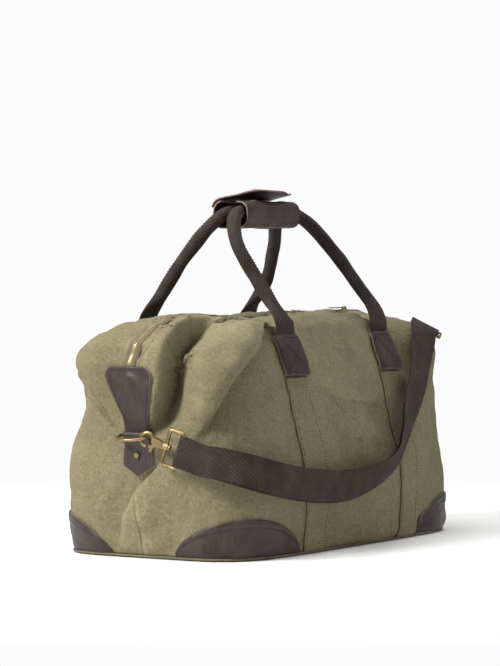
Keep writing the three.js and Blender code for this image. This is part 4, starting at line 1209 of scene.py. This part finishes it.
def strap_pieces():
    line, along, side, normal = strap_stations()
    share = np.linspace(0, 1, STRAP_STEPS + 1)

    def near(centre, width):
        return np.maximum(0, 1 - np.abs(share - centre) / (width / 84))

    spread = np.maximum(STRAP["apart"], STRAP["eye_turn"] * np.maximum(near(0, 5), near(1, 5)))
    spread = np.maximum(spread, 2.9 * MM * near(ADJUSTER_AT, 3))
    shifted = STRAP["shift"] * smoothstep(share, 0.03, 0.12) * (1 - smoothstep(share, 0.8, 0.9))

    def layer(sign, steps):
        off = line + normal * (sign * spread)[:, None] + side * (shifted * (1 if sign < 0 else -0.3))[:, None]
        return off[steps], side[steps], (sign * normal)[steps]

    def turn(i, away):
        angles = np.linspace(0, np.pi, 14)[1:-1]
        out = np.cos(angles)[:, None] * normal[i] + away * np.sin(angles)[:, None] * along[i]
        return line[i] + out * STRAP["eye_turn"], np.tile(side[i], (12, 1)), out

    last_inner = int(STRAP_STEPS * (ADJUSTER_AT - 1 / 84))
    sewn_from = int(STRAP_STEPS * (1 - SEWN_BACK))
    inner = layer(-1, slice(last_inner, None, -1))
    left = [part[::-1] for part in turn(0, -1)]
    outer = layer(1, slice(None))
    right = turn(STRAP_STEPS, 1)
    stub = layer(-1, slice(STRAP_STEPS, sewn_from, -1))
    stretches = (inner, left, outer, right, stub)
    points, sides, normals = (np.vstack([part[c] for part in stretches]) for c in range(3))
    section = oval(26, STRAP["half"], STRAP["thick"] / 2, 5.0)
    grid = swept(points, sides, normals, section)
    piece = mesh_of("webbing_strap", grid, WEBBING_LOOK, wrap=True, caps=True)
    belongs(piece, "root", "webbing", "shoulder_strap")

    rows = []
    for i0, i1 in ((6, 26), (STRAP_STEPS - 20, STRAP_STEPS - 6)):
        reach = STRAP["half"] * 0.8
        box = slice(i0, i1)
        top = line[box] + normal[box] * (spread[box] + STRAP["thick"] / 2)[:, None]
        rows += [(top + side[box] * s * reach, normal[box]) for s in (-1, 1)]
        sweep = np.linspace(-1, 1, i1 - i0)[:, None] * reach
        rows += [(top + side[box] * sweep * s, normal[box]) for s in (-1, 1)]
    stitched("strap_stitching", rows, "root", "webbing")


# ---- the metal parts and the parts inside ----
def finish_hardware():
    for name in HARDWARE:
        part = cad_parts[name]
        part.data.materials.clear()
        part.data.materials.append(BRASS_LOOK)
        part.data.polygons.foreach_set("use_smooth", [True] * len(part.data.polygons))
        weld = part.modifiers.new("weld", "WELD")
        weld.merge_threshold = 0.01 * MM
        if name.endswith(("_hook", "_swivel_eye")):
            fuller = part.modifiers.new("fuller", "DISPLACE")
            fuller.strength = CAST_SKIN
            fuller.mid_level = 0
        split = part.modifiers.new("crease", "EDGE_SPLIT")
        split.split_angle = CREASE
    for name in ("base_board", "front_handle_core", "rear_handle_core"):
        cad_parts[name].data.materials.clear()
        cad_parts[name].data.materials.append(TAPE_LOOK)


# ---- floor, light and camera ----
def aimed(name, kind, place, target, **settings):
    data = bpy.data.lights.new(name, kind)
    for key, value in settings.items():
        setattr(data, key, value)
    lamp = bpy.data.objects.new(name, data)
    lamp.location = place
    lamp.rotation_euler = (Vector(target) - Vector(place)).to_track_quat("-Z", "Y").to_euler()
    bpy.context.scene.collection.objects.link(lamp)


def studio():
    side = np.linspace(-12, 12, 9)
    grid = np.stack(np.broadcast_arrays(side[None], side[:, None], -0.0006), axis=2)
    mesh_of("floor", grid, floor_material())
    aimed("key", "AREA", (-2.6, 1.3, 2.3), (-0.1, 0, 0.2), energy=165, size=1.2, color=(1, 0.985, 0.96))
    aimed("front", "AREA", (-0.9, -3.2, 1.9), (0, 0, 0.15), energy=9, size=2.0, color=(0.97, 0.98, 1))
    aimed("over", "AREA", (0.2, 0.1, 2.8), (0, 0, 0), energy=66, size=2.2)
    world = bpy.data.worlds.new("studio")
    world.use_nodes = True
    background = world.node_tree.nodes["Background"]
    background.inputs["Color"].default_value = (*PALE, 1)
    seen = node(world.node_tree, "ShaderNodeLightPath").outputs["Is Camera Ray"]
    strength = ranged(world.node_tree, seen, 0, 1, SKY_LIGHT, 1)
    world.node_tree.links.new(strength, background.inputs["Strength"])
    bpy.context.scene.world = world
    bpy.context.scene.view_settings.view_transform = "Standard"


def camera():
    data = bpy.data.cameras.new("camera")
    data.lens = CAMERA["lens"]
    data.sensor_width = 36
    data.clip_end = 60
    eye = bpy.data.objects.new("camera", data)
    eye.location = CAMERA["place"]
    eye.rotation_euler = (math.radians(90 - CAMERA["down"]), 0, math.radians(-CAMERA["turn"]))
    bpy.context.scene.collection.objects.link(eye)
    bpy.context.scene.camera = eye


BODY_GRIDS = canvas_pieces()
BODY_TREE = body_tree(BODY_GRIDS.values())
base_pieces()
strip_pieces()
patch_pieces()
corner_pieces()
zip_pieces()
tab_pieces()
chape_pieces()
handle_pieces()
grip_pieces()
strap_pieces()
finish_hardware()
studio()
camera()
